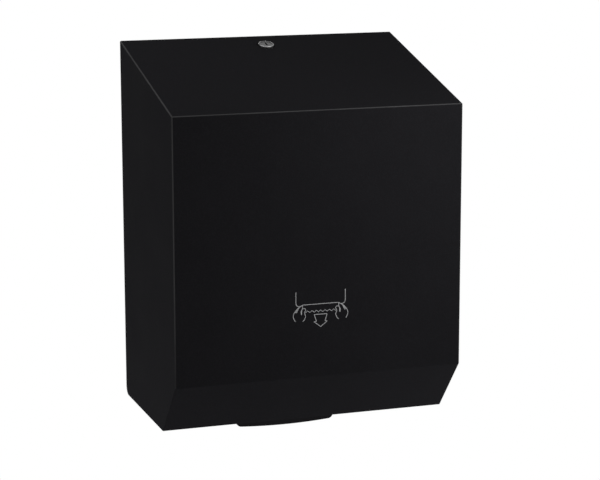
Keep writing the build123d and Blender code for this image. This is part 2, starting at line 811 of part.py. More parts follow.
def drum_pieces():
    """The drum: shaft, end caps, two half shells with a knife slot, rubber bands and screws."""
    whole = 360.0 - slot_lead - slot_trail
    half = (whole - shell_joint) / 2
    inner = drum_radius - drum_wall
    boss_ring = inner - boss_diameter / 2 + 1.0
    boss_angles = [slot_lead + 25, slot_lead + half - 25]
    boss_angles += [slot_lead + half + shell_joint + 25, slot_lead + whole - 58]
    shells = []
    screws = []
    cap = rod_x(drum_diameter, cap_inner, cap_outer, 0, 0)
    cap += rod_x(cap_hub, cap_inner - cap_hub_length, cap_outer, 0, 0)
    cap -= rod_x(drum_shaft_diameter + 2 * seat, cap_inner - cap_hub_length - 1, cap_outer + 1, 0, 0)
    cap -= rod_x(
        knife_pivot + 2 * running, cap_inner - 1, cap_outer + 1, knife_pivot_out, -knife_pivot_back
    )
    cap -= band_x(
        inner - 6, drum_radius + 1, -slot_trail, slot_lead + slot_trail, cap_inner - 1, cap_outer + 1
    )
    for number in range(2):
        start = slot_lead + number * (half + shell_joint)
        shell = band_x(inner, drum_radius, start, half, -cap_inner, cap_inner)
        for angle in boss_angles[2 * number:2 * number + 2]:
            y = boss_ring * math.cos(math.radians(angle))
            z = boss_ring * math.sin(math.radians(angle))
            boss = rod_x(boss_diameter, cap_inner - boss_length, cap_inner, y, z)
            boss -= rod_x(cap_screw + 2 * seat, 0, cap_inner + 1, y, z)
            shell += boss
            shell += left_of(boss)
            cap -= rod_x(cap_screw + 0.2, cap_inner - 1, cap_outer + 1, y, z)
            reach = cap_wall + boss_length - 3
            screws.append(screw_from_right(cap_screw, reach, cap_outer, y, z))
        shells.append(shell)
    screw_set = together(screws)
    bands = []
    for middle in band_places():
        bands.append(band_x(
            drum_radius + seat, grip_radius, slot_lead + 1.5, whole - 3,
            middle - band_width / 2, middle + band_width / 2,
        ))
    shaft = rod_x(drum_shaft_diameter, -wheel_outer, crank_outer, 0, 0)
    drill = 12.0
    shaft -= rod_x(frame_screw + 2 * seat, crank_outer - drill, crank_outer + 1, 0, 0)
    shaft -= rod_x(frame_screw + 2 * seat, -wheel_outer - 1, -wheel_outer + drill, 0, 0)
    dished = wheel_outer - wheel_dish
    shaft_screw = screw_from_right(frame_screw, drill - 1, crank_outer, 0, 0)
    wheel_screw = screw_from_right(frame_screw, drill - 1, wheel_outer, 0, 0)

    pin_turn = crank_pin_angle - slot_angle
    pin_y = crank_throw * math.cos(math.radians(pin_turn))
    pin_z = crank_throw * math.sin(math.radians(pin_turn))
    crank = rod_x(crank_diameter, crank_inner, crank_outer, 0, 0)
    crank = fillet(crank.edges().filter_by(GeomType.CIRCLE), 0.8)
    crank -= rod_x(drum_shaft_diameter + 2 * seat, crank_inner - 1, crank_outer + 1, 0, 0)
    crank -= rod_x(crank_pin_diameter + 2 * seat, crank_inner - 1, crank_outer + 1, pin_y, pin_z)
    pin = rod_x(crank_pin_diameter, crank_inner, crank_outer + crank_pin_length, pin_y, pin_z)
    wheel = rod_x(wheel_diameter, -wheel_outer, -wheel_inner, 0, 0)
    for number in range(wheel_scallops):
        angle = 2 * math.pi * number / wheel_scallops
        reach = wheel_diameter / 2 + wheel_scallop / 4
        wheel -= rod_x(
            wheel_scallop, -wheel_outer - 1, -wheel_inner + 1,
            reach * math.cos(angle), reach * math.sin(angle),
        )
    dish = rod_x(wheel_diameter - 18, -wheel_outer - 1, -dished, 0, 0)
    dish -= rod_x(20, -wheel_outer - 2, -dished + 1, 0, 0)
    wheel -= dish
    wheel -= rod_x(drum_shaft_diameter + 2 * seat, -wheel_outer - 1, -wheel_inner + 1, 0, 0)
    right_cap = cap
    left_cap = left_of(cap)
    local = {
        "drum_shaft": shaft,
        "drum_front_shell": shells[0],
        "drum_rear_shell": shells[1],
        "right_end_cap": right_cap,
        "left_end_cap": left_cap,
        "grip_bands": together(bands),
        "drum_screws": both_sides(screw_set),
        "crank_disc": crank,
        "crank_pin": pin,
        "shaft_screws": together([shaft_screw, left_of(wheel_screw)]),
        "feed_wheel": wheel,
    }
    return {name: on_drum(shape) for name, shape in local.items()}


def knife_pieces():
    """The hinged knife inside the drum: bar, serrated blade, rivets, follower arm and roller."""
    bar_half = cap_inner - knife_end_gap
    back = -knife_pivot_back
    root = knife_pivot / 2 + 1.5
    profile = outline([
        (knife_seat_start, 0),
        (knife_seat_end, 0),
        (knife_seat_end, -knife_bar_wall),
        (knife_seat_start + 7, -knife_bar_wall - 2),
        (knife_pivot_out + root, back),
        (knife_pivot_out - root, back),
        (knife_seat_start - 1, -knife_bar_wall - 2),
    ])
    bar = slab_x(profile, -bar_half, bar_half)
    bar += rod_x(2 * root, -bar_half, bar_half, knife_pivot_out, back)
    arm_near = -cap_outer - slack
    arm_far = arm_near - follower_sheet
    bar += rod_x(knife_pivot, arm_far, cap_outer, knife_pivot_out, back)
    teeth = max(4, int((2 * bar_half - 8) / tooth_pitch))
    blade_half = teeth * tooth_pitch / 2
    points = [(-blade_half, knife_seat_start + 1)]
    for number in range(teeth):
        x = -blade_half + number * tooth_pitch
        points += [(x, blade_reach - tooth_depth), (x + tooth_pitch / 2, blade_reach)]
    points += [(blade_half, blade_reach - tooth_depth), (blade_half, knife_seat_start + 1)]
    blade = extrude(Polygon(*points, align=None), blade_sheet, dir=(0, 0, 1))
    seat_middle = (knife_seat_start + knife_seat_end) / 2
    rivets = []
    for number in range(6):
        x = -bar_half + bar_half * 2 * (number + 0.5) / 6
        blade -= Pos(x, seat_middle, 0) * Cylinder(blade_rivet / 2 + seat, 10)
        bar -= Pos(x, seat_middle, 0) * Cylinder(blade_rivet / 2 + seat, 2 * knife_bar_wall - 2)
        stem = Pos(x, seat_middle, -knife_bar_wall / 2 + 0.5 + blade_sheet / 2)
        stem = stem * Cylinder(blade_rivet / 2, knife_bar_wall - 1 + blade_sheet)
        head = Pos(x, seat_middle, blade_sheet + 0.5) * Cylinder(blade_rivet, 1.0)
        rivets.append(stem + head)
    roller_far = arm_far - slack / 2 - 5.0
    arm = outline([
        (knife_pivot_out, back - root), (knife_pivot_out, back + root),
        (follower_out, -follower_back + root - 0.5), (follower_out, -follower_back - root + 0.5),
    ])
    arm = slab_x(arm, arm_far, arm_near)
    arm += rod_x(2 * root, arm_far, arm_near, knife_pivot_out, back)
    arm += rod_x(2 * root - 1, arm_far, arm_near, follower_out, -follower_back)
    arm += rod_x(follower_stud, roller_far, arm_near, follower_out, -follower_back)
    arm -= rod_x(knife_pivot + 2 * seat, arm_far - 1, arm_near + 1, knife_pivot_out, back)
    roller = rod_x(follower_roller_diameter, roller_far, arm_far - slack / 2, follower_out, -follower_back)
    roller -= rod_x(follower_stud + 2 * running, roller_far - 1, arm_far, follower_out, -follower_back)
    local = {
        "knife_bar": bar,
        "knife_blade": blade,
        "blade_rivets": together(rivets),
        "follower_arm": arm,
        "follower_roller": roller,
    }
    return {name: on_drum(shape) for name, shape in local.items()}


def drive_spring_pieces():
    """The drive spring between the crank pin and a post on the right frame, with its two end eyes."""
    pin_y = drum_y + crank_throw * math.cos(math.radians(crank_pin_angle))
    pin_z = drum_z + crank_throw * math.sin(math.radians(crank_pin_angle))
    across = Vector(0, post_y - pin_y, post_z - pin_z)
    span = across.length
    way = across.normalized()
    outer = spring_coil + spring_wire
    x = spring_x
    spring = coil(
        "drive_spring", spring_coil, spring_wire, spring_pitch, spring_turns, spring_wire, spring_wire
    )
    wound = spring_pitch * spring_turns
    place = Plane(origin=(x, pin_y, pin_z), x_dir=(1, 0, 0), z_dir=way).location
    start = (span - wound) / 2
    core = spring_coil - spring_wire - 0.4
    eye = Rot(0, 90, 0) * Cylinder(eye_diameter / 2, eye_sheet)
    eye += block(-eye_sheet / 2, eye_sheet / 2, -3, 3, 0, start)
    eye += disc(outer, start - 3.5, start - 1.5)
    eye += disc(core, start - 2, start + eye_plug)
    eye -= Rot(0, 90, 0) * Cylinder(crank_pin_diameter / 2 + running, 3 * eye_sheet)
    far_eye = Pos(0, 0, span) * Rot(0, 180, 0) * eye
    post = rod_x(crank_pin_diameter, frame_half, x + eye_sheet / 2 + 3, post_y, post_z)
    post += rod_x(crank_pin_diameter + 4, frame_outer, frame_outer + 3, post_y, post_z)
    return {
        "drive_spring": place * Pos(0, 0, start) * spring,
        "spring_eyes": together([place * eye, place * far_eye]),
        "spring_post": post,
        "drive_housing": drive_housing(),
    }


def drive_housing():
    """The moulded cap on the right frame that closes in the crank and its spring."""
    crank_room = crank_diameter / 2 + housing_gap
    post_room = eye_diameter / 2 + housing_gap
    end = max(
        spring_x + (spring_coil + spring_wire) / 2, crank_outer + crank_pin_length
    ) + housing_gap / 2

    def drop(wall):
        rings = Pos(drum_y, drum_z) * Circle(crank_room + wall)
        rings += Pos(post_y, post_z) * Circle(post_room + wall)
        return make_hull(rings.edges())

    cap = slab_x(drop(housing_wall), frame_outer, end + housing_wall)
    cap = fillet(cap.faces().sort_by(Axis.X)[-1].edges(), housing_round)
    return cap - slab_x(drop(0), frame_outer - 1, end)


def pinch_pieces():
    """The sprung pinch roller that holds the towel against the drum."""
    block_half = pinch_block / 2
    lip_half = block_half + pinch_block_edge
    lip_length = pinch_block_length / 2
    inside = frame_half - slack - pinch_block_lip
    outside = frame_outer + slack + pinch_block_lip
    bearing = block(inside, outside, -lip_length, lip_length, -block_half, block_half)
    for x in (inside, outside - pinch_block_lip):
        bearing += block(x, x + pinch_block_lip, -lip_length, lip_length, -lip_half, lip_half)
    bearing -= rod_x(pinch_shaft_diameter + 2 * running, inside - 1, outside + 1, 0, 0)
    middle = (frame_half + frame_outer) / 2
    shaft = rod_x(pinch_shaft_diameter, -outside - 1.5, outside + 1.5, 0, 0)
    shaft = chamfer(shaft.edges().filter_by(GeomType.CIRCLE), 0.8)
    tyres = []
    for x in band_places():
        tyre = rod_x(tyre_diameter, x - tyre_width / 2, x + tyre_width / 2, 0, 0)
        tyre = fillet(tyre.edges().filter_by(GeomType.CIRCLE), 0.8)
        tyres.append(tyre - rod_x(pinch_shaft_diameter + 2 * seat, x - tyre_width, x + tyre_width, 0, 0))
    spring = coil(
        "pinch_springs", pinch_spring_coil, pinch_spring_wire, pinch_spring_pitch, pinch_spring_turns,
        pinch_spring_wire, pinch_spring_wire,
    )
    start = pinch_block_length / 2 + pinch_spring_wire + 0.1
    spring = Pos(middle, start, 0) * Rot(-90, 0, 0) * spring
    return {
        "right_pinch_bearing": on_pinch(bearing),
        "left_pinch_bearing": on_pinch(left_of(bearing)),
        "pinch_shaft": on_pinch(shaft),
        "pinch_tyres": on_pinch(together(tyres)),
        "pinch_springs": together([on_pinch(spring), on_pinch(left_of(spring))]),
    }


def guide_pieces():
    """The front guard over the drum, and the rear guide whose tongue hangs out of the underside."""
    outer = guide_radius + guide_wall
    tabs = guide_tabs()
    guard = band_x(
        guide_radius, outer, guard_start, guard_sweep, -frame_half, frame_half, drum_y, drum_z
    )
    guide = band_x(
        guide_radius, outer, guide_rear_start - guide_rear_sweep, guide_rear_sweep,
        -frame_half, frame_half, drum_y, drum_z,
    )
    for side in (-1, 1):
        for start, sweep_angle in tabs[:2]:
            guard += band_x(
                guide_radius, outer, start, sweep_angle,
                side * (frame_half - 1), side * frame_outer, drum_y, drum_z,
            )
        for start, sweep_angle in tabs[2:]:
            guide += band_x(
                guide_radius, outer, start, sweep_angle,
                side * (frame_half - 1), side * frame_outer, drum_y, drum_z,
            )
    low = bottom - tongue_drop
    front = -tongue_from_wall
    end_angle = math.radians(guide_rear_start - guide_rear_sweep)
    join_z = drum_z + (guide_radius + guide_wall / 2) * math.sin(end_angle)
    join_y = drum_y + (guide_radius + guide_wall / 2) * math.cos(end_angle)
    shoulder = bottom + frame_bottom_height
    wide = block(-frame_half, frame_half, front, front + tongue_wall, shoulder, join_z + 4)
    corner = tongue_corner
    bow = ThreePointArc((-tongue_straight / 2, low), (0, low - tongue_bow), (tongue_straight / 2, low))
    right_end = ThreePointArc(
        bow @ 1, (tongue_width / 2 - corner * 0.3, low + corner * 0.3), (tongue_width / 2, low + corner)
    )
    left_end = ThreePointArc(
        bow @ 0, (-tongue_width / 2 + corner * 0.3, low + corner * 0.3), (-tongue_width / 2, low + corner)
    )
    neck = frame_half - tongue_shoulder_inset
    lip = make_face([
        bow,
        right_end,
        Line(right_end @ 1, (neck, shoulder + 1)),
        Line((neck, shoulder + 1), (-neck, shoulder + 1)),
        Line((-neck, shoulder + 1), left_end @ 1),
        left_end,
    ])
    tongue = extrude(Plane.XZ.offset(-front) * lip, amount=-tongue_wall)
    bridge = block(-frame_half, frame_half, front, join_y + guide_wall / 2, join_z, join_z + 3)
    return {"front_guard": guard, "rear_guide": guide + wide + bridge + tongue}


def roll_holder_pieces():
    """Two sprung arms with hubs that hold the towel roll by its core."""
    root_y = arm_pivot_y - arm_barrel / 2 - 1
    edge = outline([
        (root_y, roll_z + arm_root_width / 2), (roll_y, roll_z + arm_width / 2),
        (roll_y, roll_z - arm_width / 2), (root_y, roll_z - arm_root_width / 2),
    ])
    arm = slab_x(edge, arm_inner, arm_outer)
    arm += rod_x(arm_width, arm_inner, arm_outer, roll_y, roll_z)
    arm = fillet(arm.edges().filter_by(Plane.YZ), 1.0)
    lug_low = roll_z - lug_span / 2
    lug_high = roll_z + lug_span / 2
    barrel_low = lug_low + slack
    barrel_high = barrel_low + arm_barrel_length
    arm += block(
        arm_inner, arm_outer, root_y - 2, arm_pivot_y, roll_z - arm_root_width / 2 + 1, barrel_high
    )
    arm += rod_z(arm_barrel, barrel_low, barrel_high, arm_pivot_x, arm_pivot_y)
    arm -= rod_z(arm_pin + 2 * running, lug_low, lug_high, arm_pivot_x, arm_pivot_y)
    arm -= rod_x(axle + 2 * seat, arm_inner - 1, arm_outer + 1, roll_y, roll_z)

    foot_front = -plate_sheet - bracket_wall
    bracket = block(
        arm_pivot_x - bracket_width / 2, arm_pivot_x + bracket_width / 2, foot_front, -plate_sheet,
        roll_z - bracket_height / 2, roll_z + bracket_height / 2,
    )
    bracket = fillet(bracket.edges().filter_by(Axis.Y), 4)
    for low in (lug_low - lug_wall, lug_high):
        lug = block(
            arm_pivot_x - lug_width / 2, arm_pivot_x + lug_width / 2, arm_pivot_y, -plate_sheet - 1,
            low, low + lug_wall,
        )
        lug += rod_z(lug_width, low, low + lug_wall, arm_pivot_x, arm_pivot_y)
        bracket += lug
    bracket -= rod_z(
        arm_pin + 2 * seat, lug_low - lug_wall - 1, lug_high + lug_wall + 1, arm_pivot_x, arm_pivot_y
    )
    pin = rod_z(arm_pin, lug_low - lug_wall - 0.5, lug_high + lug_wall, arm_pivot_x, arm_pivot_y)
    pin += rod_z(1.8 * arm_pin, lug_high + lug_wall, lug_high + lug_wall + 2, arm_pivot_x, arm_pivot_y)
    screws = []
    for z in bracket_screw_heights():
        bracket -= rod_y(bracket_screw + 0.2, foot_front - 1, 0, arm_pivot_x, z)
        screws.append(screw_from_front(bracket_screw, -foot_front - 0.1, arm_pivot_x, foot_front, z))
    spring = coil(
        "arm_springs", arm_spring_coil, arm_spring_wire, arm_spring_pitch, arm_spring_turns,
        arm_spring_wire, arm_spring_leg,
    )
    spring_low = barrel_high + arm_spring_wire / 2 + 0.6
    spring = Pos(arm_pivot_x, arm_pivot_y, spring_low) * left_of(Rot(0, 0, 180) * spring)

    hub_back = arm_inner - slack
    flange_in = hub_back - hub_flange_wall
    hub_end = flange_in - hub_plug_length
    hub = rod_x(hub_plug, hub_end, flange_in, roll_y, roll_z)
    hub = chamfer(hub.faces().sort_by(Axis.X)[0].edges(), 3)
    flange = rod_x(hub_flange, flange_in, hub_back, roll_y, roll_z)
    hub += fillet(flange.edges().filter_by(GeomType.CIRCLE), 1.0)
    for number in range(hub_ribs):
        angle = 360.0 * number / hub_ribs
        rib = block(
            hub_end + 4, flange_in, hub_plug / 2 - 2, hub_plug / 2 + hub_rib_rise, -hub_rib / 2, hub_rib / 2
        )
        hub += Pos(0, roll_y, roll_z) * Rot(angle, 0, 0) * rib
    recess = axle_head_wall + 1.0
    hub -= rod_x(axle_head + 2, hub_end - 1, hub_end + recess, roll_y, roll_z)
    hub -= rod_x(axle + 2 * running, hub_end - 1, hub_back + 1, roll_y, roll_z)
    head_x = hub_end + recess - slack
    stud = rod_x(axle, head_x, arm_outer, roll_y, roll_z)
    stud += rod_x(axle_head, head_x - axle_head_wall, head_x, roll_y, roll_z)
    stud += rod_x(axle_head, arm_outer, arm_outer + axle_head_wall, roll_y, roll_z)
    return {
        "right_arm": arm,
        "left_arm": left_of(arm),
        "right_axle": stud,
        "left_axle": left_of(stud),
        "right_hub": hub,
        "left_hub": left_of(hub),
        "arm_brackets": both_sides(bracket),
        "arm_pins": both_sides(pin),
        "bracket_screws": both_sides(together(screws)),
        "arm_springs": both_sides(spring),
    }


def bracket_screw_heights():
    """Heights of the two screws of each arm bracket."""
    return [roll_z + side * (bracket_height / 2 - 7) for side in (-1, 1)]


pieces = {"cover_shell": cover_shell()}
pieces.update(hinge_pieces())
lock_nodes, keeper_rivet_places = lock_pieces()
pieces.update(lock_nodes)
plate_screws = [(side * x, z, frame_screw) for side in (-1, 1) for x, z in frame_screw_places()]
plate_screws += [
    (side * arm_pivot_x, z, bracket_screw) for side in (-1, 1) for z in bracket_screw_heights()
]
pieces["back_plate"] = wall_plate(keeper_rivet_places, plate_screws)
pieces.update(frame_pieces())
pieces["cam_ring"] = cam_ring()
pieces.update(drum_pieces())
pieces.update(knife_pieces())
pieces.update(drive_spring_pieces())
pieces.update(pinch_pieces())
pieces.update(guide_pieces())
pieces.update(roll_holder_pieces())

os.makedirs("parts", exist_ok=True)
for node, shape in pieces.items():
    export_step(shape, f"parts/{node}.step")
print(len(pieces), "nodes")
print("slope", round(tilt, 3), "lock", lock_plane.origin, lock_plane.z_dir)
print("hinge", hinge_y, hinge_z, "drum", drum_y, drum_z, "pinch", round(pinch_y, 3), round(pinch_z, 3))
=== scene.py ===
import json
import math

import bpy
from mathutils import Matrix, Vector


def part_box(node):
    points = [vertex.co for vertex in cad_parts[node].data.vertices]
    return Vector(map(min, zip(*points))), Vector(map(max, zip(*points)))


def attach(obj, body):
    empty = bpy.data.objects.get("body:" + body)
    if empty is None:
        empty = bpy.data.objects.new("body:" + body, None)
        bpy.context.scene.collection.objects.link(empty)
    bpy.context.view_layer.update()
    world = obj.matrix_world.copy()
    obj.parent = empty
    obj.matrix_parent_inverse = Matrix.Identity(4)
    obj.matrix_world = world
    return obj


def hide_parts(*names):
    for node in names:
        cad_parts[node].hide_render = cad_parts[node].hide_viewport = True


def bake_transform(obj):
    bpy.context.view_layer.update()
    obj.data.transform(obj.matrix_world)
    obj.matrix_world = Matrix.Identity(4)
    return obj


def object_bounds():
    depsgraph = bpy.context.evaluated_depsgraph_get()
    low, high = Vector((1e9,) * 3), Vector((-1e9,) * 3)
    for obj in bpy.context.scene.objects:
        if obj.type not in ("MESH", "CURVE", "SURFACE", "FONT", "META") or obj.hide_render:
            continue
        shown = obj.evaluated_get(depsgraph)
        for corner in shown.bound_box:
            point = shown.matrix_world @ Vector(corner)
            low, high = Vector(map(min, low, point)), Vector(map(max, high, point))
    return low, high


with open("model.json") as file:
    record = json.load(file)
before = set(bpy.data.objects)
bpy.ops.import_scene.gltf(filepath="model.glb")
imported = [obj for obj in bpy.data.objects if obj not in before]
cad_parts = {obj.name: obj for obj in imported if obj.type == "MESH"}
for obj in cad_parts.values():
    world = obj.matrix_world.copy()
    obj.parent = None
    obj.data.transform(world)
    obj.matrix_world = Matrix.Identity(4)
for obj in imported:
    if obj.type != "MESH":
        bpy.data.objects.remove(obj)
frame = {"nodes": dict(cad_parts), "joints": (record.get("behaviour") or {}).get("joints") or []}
cad_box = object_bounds()

bl_info = {
    "name": "Roll Towel Dispenser",
    "version": (1, 0, 0),
    "blender": (4, 5, 0),
    "location": "3D View > Sidebar > Dispenser",
    "description": "Finishes, printed sign, springs, ribs, weld spots and studio of a roll towel dispenser",
    "category": "Object",
}

MM = 0.001

# Places and directions from the frame
cover_low, cover_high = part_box("cover_shell")
band_low, band_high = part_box("grip_bands")
leaf_low, leaf_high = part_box("hinge_brackets")
arm_spring_low, arm_spring_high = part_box("arm_springs")
pinch_spring_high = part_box("pinch_springs")[1]
joints = {joint["name"]: joint for joint in frame["joints"]}
drum_axis = Vector(joints["drum_spin"]["pos_m"])
pinch_axis = Vector(joints["pinch_spin"]["pos_m"])
pinch_way = Vector(joints["pinch_slide"]["axis"]).normalized()
lock_axis = Vector(joints["lock_turn"]["pos_m"])
lock_way = Vector(joints["lock_turn"]["axis"]).normalized()
lock_tilt = math.atan2(-lock_way.y, lock_way.z)

# Sizes of the solids that finishes and added pieces follow
SLANT_HEIGHT = 62 * MM  # slanted lower front of the cover
SLANT_DEPTH = 54 * MM
LEAF_SHEET = 2 * MM  # sheet of the hinge brackets
BANDS = 5  # rubber bands on the drum
BAND_WIDTH = 18 * MM
SLOT_ANGLE = 120.0  # degrees round the drum to the knife's slot
SLOT_LEAD = 3.3  # degrees from there to the slot's ends
SLOT_TRAIL = 16.0
LOCK_RIM = (7.9 * MM, 8.7 * MM)  # radii between which the lock's face turns into its rim

# Where painted highlights and added detail sit
FOLD_FADE = 120 * MM  # length over which the painted highlight on the upright folds fades towards the slant
FOLD_LEAST = 0.3  # share of the painted highlight that is left at the slant
LOCK_RIM_HIGHLIGHT = (-7.5 * MM, -1.5 * MM)  # front and back of the painted highlight on the lock's rim, from its axis
LOCK_RIM_HIGHLIGHT_LEAST = 0.03  # share of that painted highlight that is left at the back
WELD_UP = 0.62  # middle of the welds, as a share of the bracket's height and depth
WELD_ALONG = 0.42
RIB_MARGIN = 1.5  # degrees from the slot to the first rib
RIB_END_GAP = 0.3 * MM  # from a rib's end to the edge of its band

# Camera of the main view: place in metres, angles in radians
CAMERA_PLACE = (-0.71095, -2.23799, 0.36013)
CAMERA_YAW = 0.32825
CAMERA_PITCH = 0.1965
CAMERA_ROLL = -0.00154
SENSOR_WIDTH = 36.0

# Lamps: azimuth and elevation in degrees, and distance in metres from the middle of the object
LAMPS = {
    "key": (37.0, 28.0, 0.75),
    "left_low": (-80.0, -38.0, 0.75),
    "right_low": (64.0, -35.0, 0.75),
    "left_high": (-92.0, 58.0, 0.75),
    "front": (25.0, 26.0, 0.36),
    "rear": (172.0, 8.0, 1.3),
}
LAMP_GROWTH = 0.45  # a lamp's side grows by this share of its distance
LAMP_LEAST = 0.1  # from this side in metres
LAMP_POWER = 4.0  # watts for each square metre of a lamp of level 1

# Floor: half its side, the radii between which it turns white, and its own light where it is seen
FLOOR_HALF = 40.0
FLOOR_FADE = (0.35, 0.95)
FLOOR_GLOW = 0.5
PALE = (0.8, 0.8, 0.8, 1.0)
WHITE = (1.0, 1.0, 1.0, 1.0)

# Counts that set how fine the meshes and the edge effects are
TUBE_SIDES = 12
TURN_STEPS = 28
SPLINE_STEPS = 6
DOME_SEGMENTS = 20
DOME_RINGS = 10
RIB_SIDES = 10
RUB_SAMPLES = 8
CORNER_SAMPLES = 4

# Kinds of sockets, and the sockets of a node that mixes colours, by number
NUMBER = "NodeSocketFloat"
WHOLE = "NodeSocketInt"
SWITCH = "NodeSocketBool"
VECTOR = "NodeSocketVector"
GEOMETRY = "NodeSocketGeometry"
MATERIAL = "NodeSocketMaterial"
MIX_FACTOR, MIX_FIRST, MIX_SECOND, MIX_RESULT = 0, 6, 7, 2

# Node lists, by finish
POWDER_NODES = ("hinge_brackets", "back_plate")
LIP_NODES = ("rear_guide",)
BLACK_PLASTIC_NODES = (
    "left_frame", "right_frame", "front_guard", "drive_housing", "cam_ring", "drum_front_shell",
    "drum_rear_shell", "knife_bar", "left_arm", "right_arm",
)
GREY_PLASTIC_NODES = (
    "left_end_cap", "right_end_cap", "feed_wheel", "left_hub", "right_hub", "crank_disc",
)
NYLON_NODES = (
    "hinge_bushes", "right_drum_bush", "one_way_bearing", "left_pinch_bearing",
    "right_pinch_bearing", "follower_roller",
)
ZINC_NODES = (
    "keeper", "keeper_rivets", "frame_screws", "cam_screws", "tie_rod_screws", "drum_screws",
    "shaft_screws", "bracket_screws", "blade_rivets", "cam_screw", "lock_cam", "lock_nut",
    "lock_washer", "hinge_clips", "arm_brackets", "follower_arm", "spring_eyes",
)
DRAWN_STEEL_NODES = (
    "tie_rods", "drum_shaft", "pinch_shaft", "hinge_pins", "crank_pin", "spring_post",
    "left_axle", "right_axle", "arm_pins",
)
LOCK_NODES = ("lock_barrel", "lock_plug")
RUBBER_NODES = ("grip_bands", "pinch_tyres")
SPRING_NODES = ("drive_spring", "pinch_springs", "arm_springs")

# The sign on the front, in millimetres: across from the middle, and up from the bottom edge of the cover.
# Strokes of the left half; the right half is their mirror image.
SIDE_LINE = [
    (-28.5, 158.1), (-28.5, 151.7), (-28.5, 146.7), (-28.3, 144.3), (-27.0, 142.6), (-24.4, 141.8),
    (-22.4, 142.3), (-20.8, 143.4),
]
HAND_BACK = [
    (-21.6, 142.9), (-24.0, 141.6), (-26.8, 139.6), (-29.6, 136.6), (-31.5, 133.3), (-31.6, 130.3),
    (-30.4, 127.7), (-29.2, 125.6),
]
KNUCKLE = [(-24.6, 141.1), (-25.6, 140.0), (-26.4, 138.1), (-27.8, 135.1)]
KNUCKLE_INNER = [(-27.2, 139.3), (-27.4, 138.0), (-28.4, 136.3), (-29.4, 135.3)]
FOREFINGER = [
    (-20.9, 143.3), (-20.8, 140.3), (-21.4, 138.3), (-22.6, 136.3), (-22.7, 134.3), (-22.2, 132.7),
]
FOREFINGER_TIP = [(-22.0, 137.9), (-21.9, 135.9), (-21.8, 133.9), (-22.2, 132.7)]
THUMB = [
    (-21.0, 139.2), (-19.2, 139.7), (-17.4, 139.0), (-17.3, 137.1), (-18.5, 135.6), (-18.7, 133.7),
    (-17.4, 131.5), (-17.3, 130.1), (-18.4, 128.1), (-19.0, 126.3), (-20.8, 125.1),
]
SOFT_STROKES = (SIDE_LINE, HAND_BACK, KNUCKLE, KNUCKLE_INNER, FOREFINGER, FOREFINGER_TIP, THUMB)
TOWEL_EDGE = [(-20.9, 143.5), (20.9, 143.5)]
TEAR_HALF_WIDTH = 17.6
TEAR_HEIGHT = 135.6
TEAR_DEPTH = 1.9
TEAR_WAVES = 7
ARROW_HALF = [(0.0, 131.9), (-7.5, 131.9), (-4.9, 124.2), (-7.7, 123.8), (0.0, 118.0)]


def colour_property(name, description, default):
    """A colour that a user may change, in linear values."""
    return bpy.props.FloatVectorProperty(
        name=name, description=description, subtype="COLOR", size=3, min=0.0, max=1.0, default=default
    )


def length_property(name, description, default):
    """A length that a user may change, in metres."""
    return bpy.props.FloatProperty(
        name=name, description=description, unit="LENGTH", min=0.0, precision=5, default=default
    )


def level_property(name, description, default):
    """A plain amount that a user may change."""
    return bpy.props.FloatProperty(name=name, description=description, min=0.0, default=default)


class DispenserColours(bpy.types.PropertyGroup):
    """Colours of the finishes"""

    powder: colour_property(
        "Powder coat", "Matt coat of the cover and wall plate", (0.0097, 0.0095, 0.0106)
    )
    # Painted highlight along the cover's outer folds. The same colour is the rubbed coat on the edges of
    # the wall plate and hinge brackets.
    fold_highlight_and_rub: colour_property("Folds", "Rubbed coat along the folds of the cover", (0.056, 0.056, 0.057))
    sign: colour_property("Sign", "Printed lines of the sign on the front", (0.31, 0.31, 0.315))
    lip: colour_property(
        "Lip", "Matt plastic of the guide that ends in the lip", (0.0145, 0.0141, 0.0155)
    )
    black_plastic: colour_property("Black plastic", "Moulded frames, drum and arms", (0.028, 0.028, 0.030))
    grey_plastic: colour_property(
        "Grey plastic", "Moulded hubs, end caps and feed wheel", (0.26, 0.27, 0.28)
    )
    nylon: colour_property("Nylon", "Bushes and bearings", (0.72, 0.70, 0.65))
    zinc: colour_property("Zinc", "Zinc-plated fasteners and brackets", (0.52, 0.53, 0.56))
    drawn_steel: colour_property("Drawn steel", "Bright rods, pins and shafts", (0.56, 0.56, 0.57))
    lock: colour_property("Lock", "Satin plating of the lock", (0.034, 0.034, 0.035))
    # Painted highlight on the front of the lock's rim
    lock_rim_highlight: colour_property("Lock rim", "Plating rubbed bright along the lock's rim", (0.25, 0.25, 0.254))
    rubber: colour_property("Rubber", "Grip bands and tyres", (0.022, 0.022, 0.023))
    blade: colour_property("Blade", "Ground stainless blade", (0.60, 0.60, 0.61))
    wire: colour_property("Spring wire", "Drawn spring wire", (0.42, 0.42, 0.44))


